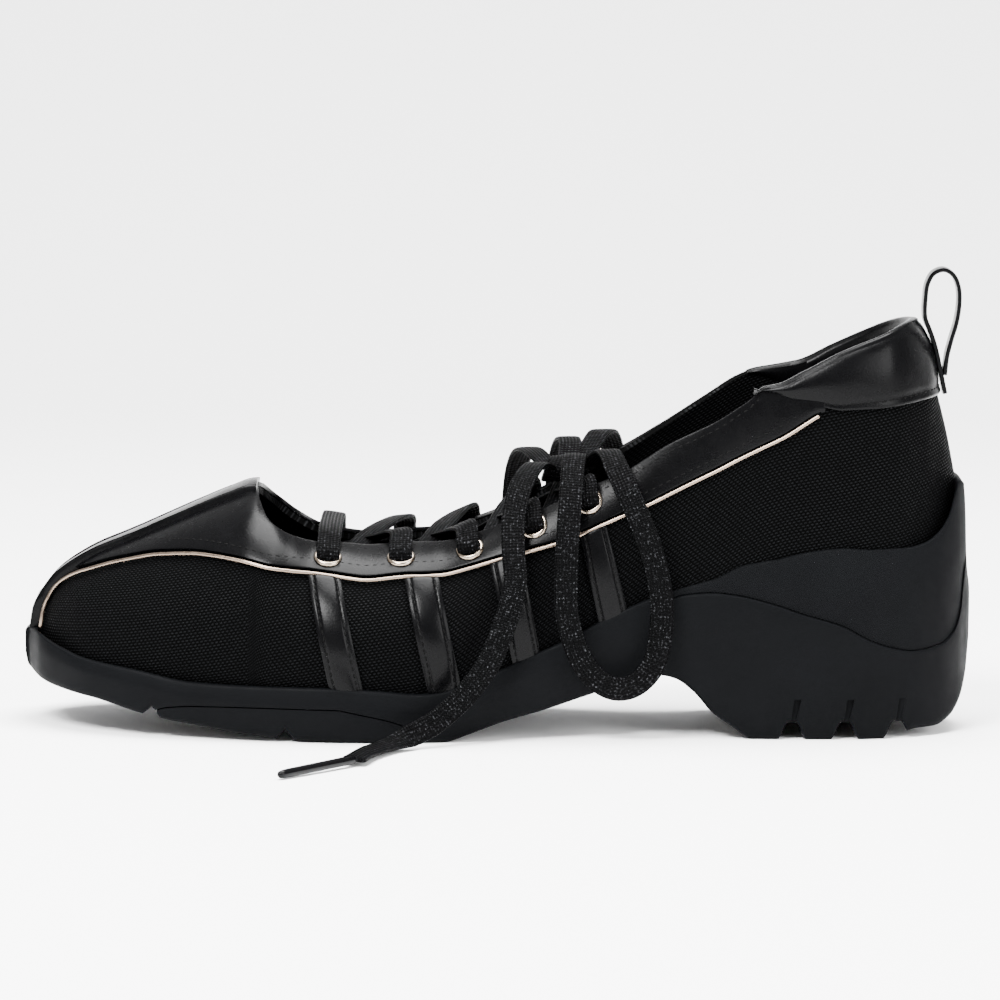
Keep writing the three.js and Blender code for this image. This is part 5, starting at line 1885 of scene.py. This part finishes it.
@dataclass(frozen=True)
class Rubber:
    """Matte black moulded rubber, with or without the fine knurl of the heel cradle."""

    name: str = "black_rubber"
    knurled: bool = False

    def build(self) -> bpy.types.Material:
        """Returns the material.

        Returns:
            The material.
        """
        paint = Paint(self.name, Specular_IOR_Level=0.02)
        cloud = paint.noise(35, 4)
        paint.feed(
            paint.shader.inputs["Base Color"],
            paint.blend(cloud, (0.0011, 0.0012, 0.0014), (0.0024, 0.0026, 0.003)),
        )
        paint.feed(paint.shader.inputs["Roughness"], paint.spread(paint.noise(150), 0.3, 0.7, 0.5, 0.62))
        paint.bump(paint.noise(2600, 2), 0.05, 0.5)
        if self.knurled:
            x, _, z = paint.split("Object")
            ridges = TURN * 1000 / np.array([0.8, 1.1])
            first = paint.wave(x, 0.35 * ridges[0], z, 0.94 * ridges[0])
            grid = paint.sum("MULTIPLY", first, paint.wave(x, 0.94 * ridges[1], z, -0.35 * ridges[1]))
            front = paint.spread(x, 0.042, 0.06)
            back = paint.spread(x, 0.118, 0.108)
            paint.bump(paint.sum("MULTIPLY", grid, paint.sum("MULTIPLY", front, back)), 0.09, 0.7)
        return paint.material


@dataclass(frozen=True)
class Fuzz:
    """Dark lining cloth with a fuzzy nap."""

    name: str = "dark_lining"

    def build(self) -> bpy.types.Material:
        """Returns the material.

        Returns:
            The material.
        """
        paint = Paint(self.name, Specular_IOR_Level=0.04, Sheen_Weight=0.015, Sheen_Roughness=0.6)
        nap = paint.noise(900, 5, 0.75)
        paint.feed(
            paint.shader.inputs["Base Color"],
            paint.blend(paint.spread(nap, 0.35, 0.7), (0.0005, 0.0005, 0.0006), (0.0035, 0.0035, 0.004)),
        )
        paint.feed(paint.shader.inputs["Roughness"], paint.spread(nap, 0.3, 0.7, 0.95, 0.75))
        paint.bump(nap, 0.5, 0.8)
        return paint.material


@dataclass(frozen=True)
class Metal:
    """Pale champagne metal, polished on the eyelets and foil-like on the piping."""

    name: str = "pale_metal"
    colour: tuple[float, float, float] = (0.33, 0.27, 0.21)
    roughness: float = 0.16
    dents: float = 0.04

    def build(self) -> bpy.types.Material:
        """Returns the material.

        Returns:
            The material.
        """
        paint = Paint(self.name, Metallic=1.0)
        tone = paint.noise(400)
        darker = tuple(c * 0.82 for c in self.colour)
        paint.feed(paint.shader.inputs["Base Color"], paint.blend(tone, darker, self.colour))
        paint.feed(
            paint.shader.inputs["Roughness"],
            paint.spread(tone, 0.3, 0.7, self.roughness, self.roughness + 0.12),
        )
        paint.bump(paint.noise(700, 2), self.dents, 0.6)
        return paint.material


@dataclass(frozen=True)
class Braid:
    """Waxed flat braid: slanting plaits on the flat pattern, with pale specks painted on the raised plaits
    as glints (a painted highlight).
    """

    name: str = "black_braid"
    plait: float = 1.7

    def build(self) -> bpy.types.Material:
        """Returns the material.

        Returns:
            The material.
        """
        paint = Paint(self.name, Specular_IOR_Level=0.024)
        u, v, _ = paint.split("UV")
        pace, slope = TURN / self.plait, 0.9 * TURN / self.plait
        weave = paint.sum("MULTIPLY", paint.wave(u, pace, v, slope), paint.wave(u, pace, v, -slope))
        plaits = paint.spread(weave, -0.6, 0.8)
        # Pale specks on the raised plaits: painted glints, a painted highlight in the base colour.
        specks = paint.spread(paint.noise(1500, 3, 0.7), 0.56, 0.7)
        painted_glints = paint.sum("MULTIPLY", specks, plaits)
        paint.feed(
            paint.shader.inputs["Base Color"],
            paint.blend(painted_glints, (0.0005, 0.0005, 0.0006), (0.045, 0.046, 0.05)),
        )
        paint.feed(paint.shader.inputs["Roughness"], paint.spread(plaits, 0.0, 1.0, 0.75, 0.42))
        paint.bump(plaits, 0.45, 0.9)
        return paint.material


@dataclass(frozen=True)
class Gloss:
    """Hard glossy black plastic of the aglets."""

    name: str = "black_gloss"

    def build(self) -> bpy.types.Material:
        """Returns the material.

        Returns:
            The material.
        """
        paint = Paint(self.name, Base_Color=(0.0006, 0.0006, 0.0008, 1), Specular_IOR_Level=0.09)
        paint.feed(paint.shader.inputs["Roughness"], paint.spread(paint.noise(300), 0.3, 0.7, 0.1, 0.22))
        paint.bump(paint.noise(500, 1), 0.04, 0.4)
        return paint.material


@dataclass(frozen=True)
class Lamp:
    """One soft square light that looks at the shoe."""

    name: str
    place: tuple[float, float, float]
    size: float
    power: float


@dataclass
class Studio:
    """Pale floor, soft lights and the camera at the photograph's angle."""

    lamps: tuple[Lamp, ...] = (
        Lamp("key", (-0.5, -0.9, 1.2), 0.6, 90),
        Lamp("top", (0.1, 0.1, 1.3), 0.9, 92),
        Lamp("fill", (0.9, -0.8, 0.5), 0.7, 22),
    )
    lamp_aim: tuple[float, float, float] = (0, 0, 0.05)
    sky: float = 0.97
    aim: tuple[float, float, float] = (0.0007, -0.033, 0.0665)
    floor_width: float = 9000.0
    floor_depth: float = 6000.0
    floor_ahead: float = 0.35
    backdrop: tuple[float, float] = (900.0, 3900.0)
    backdrop_height: float = 2600.0
    white: float = 0.97
    elevation: float = 6.2
    roll: float = 0.35
    distance: float = 1.72
    lens: float = 225.0

    def camera(self) -> None:
        """Adds the camera and makes it the scene's own."""
        Bench.clear()
        rise, roll = np.radians([self.elevation, self.roll])
        back = np.array([0, -np.cos(rise), np.sin(rise)])
        bpy.ops.object.camera_add(location=tuple(np.array(self.aim) + back * self.distance))
        camera = bpy.context.object
        camera.name = "camera"
        tilt = Matrix.Rotation(float(np.pi / 2 - rise), 4, "X") @ Matrix.Rotation(float(roll), 4, "Z")
        camera.rotation_euler = tilt.to_euler()
        camera.data.lens, camera.data.sensor_width = self.lens, 36.0
        camera.data.clip_start, camera.data.clip_end = 0.05, 50
        bpy.context.scene.camera = camera

    def light(self, lamp: Lamp) -> None:
        """Adds one lamp.

        Args:
            lamp: The lamp.
        """
        Bench.clear()
        bpy.ops.object.light_add(type="AREA", location=lamp.place)
        made = bpy.context.object
        made.name = lamp.name
        made.data.size, made.data.energy = lamp.size, lamp.power
        look = Vector(self.lamp_aim) - Vector(lamp.place)
        made.rotation_euler = look.to_track_quat("-Z", "Y").to_euler()

    def floor(self) -> None:
        """Adds the pale floor that runs up into a backdrop."""
        def place(along: Array, across: Array) -> Array:
            """Returns the floor's points for shares of its width and depth.

            Args:
                along: Shares of the width.
                across: Shares of the depth.

            Returns:
                Points, in millimetres from the toe tip.
            """
            depth = (across - self.floor_ahead) * self.floor_depth
            rise = self.backdrop_height * ramp(depth, *self.backdrop)
            return np.stack([(along - 0.5) * self.floor_width + SHOE_LENGTH / 2, depth, rise], axis=-1)

        piece = Bench.sheet("floor", 8, 80, place)
        Bench.smooth(piece, 60)
        paint = Paint("white_floor", Base_Color=(self.white, self.white, self.white, 1), Roughness=0.9)
        paint.bump(paint.noise(40), 0.02, 0.1)
        piece.data.materials.clear()
        piece.data.materials.append(paint.material)
        piece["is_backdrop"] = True

    def build(self) -> None:
        """Builds the studio."""
        self.camera()
        self.floor()
        for lamp in self.lamps:
            self.light(lamp)
        world = bpy.data.worlds.new("studio")
        bpy.context.scene.world = world
        world.use_nodes = True
        world.node_tree.nodes["Background"].inputs[0].default_value = (1, 1, 1, 1)
        world.node_tree.nodes["Background"].inputs[1].default_value = self.sky


def main() -> None:
    """Builds the studio and the shoe."""
    logging.basicConfig(level=logging.INFO, format="%(message)s")
    Studio().build()
    braid, gloss = Braid().build(), Gloss().build()
    leather, mesh, lining = Leather().build(), Knit().build(), Fuzz().build()
    thread = Leather("thread", (0.0002, 0.0002, 0.0002), (0.001, 0.001, 0.001), 0.6).build()
    Lace().bow(braid, gloss)
    Sole().build(Rubber().build(), Rubber("knurled_rubber", True).build())
    piping = Metal("piping_foil", (0.22, 0.168, 0.13), 0.24, 0.03).build()
    Upper().build(mesh, lining, leather, thread, piping)
    Collar().build(leather, thread)
    Eyestay().build(Metal("eyelet_metal").build(), braid)
    Insole().build(lining)
    box = lambda corners: [list(corner) for corner in corners]
    {"cad": box(CAD_BOX), "visual": box(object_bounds())}


if __name__ == "__main__":
    main()
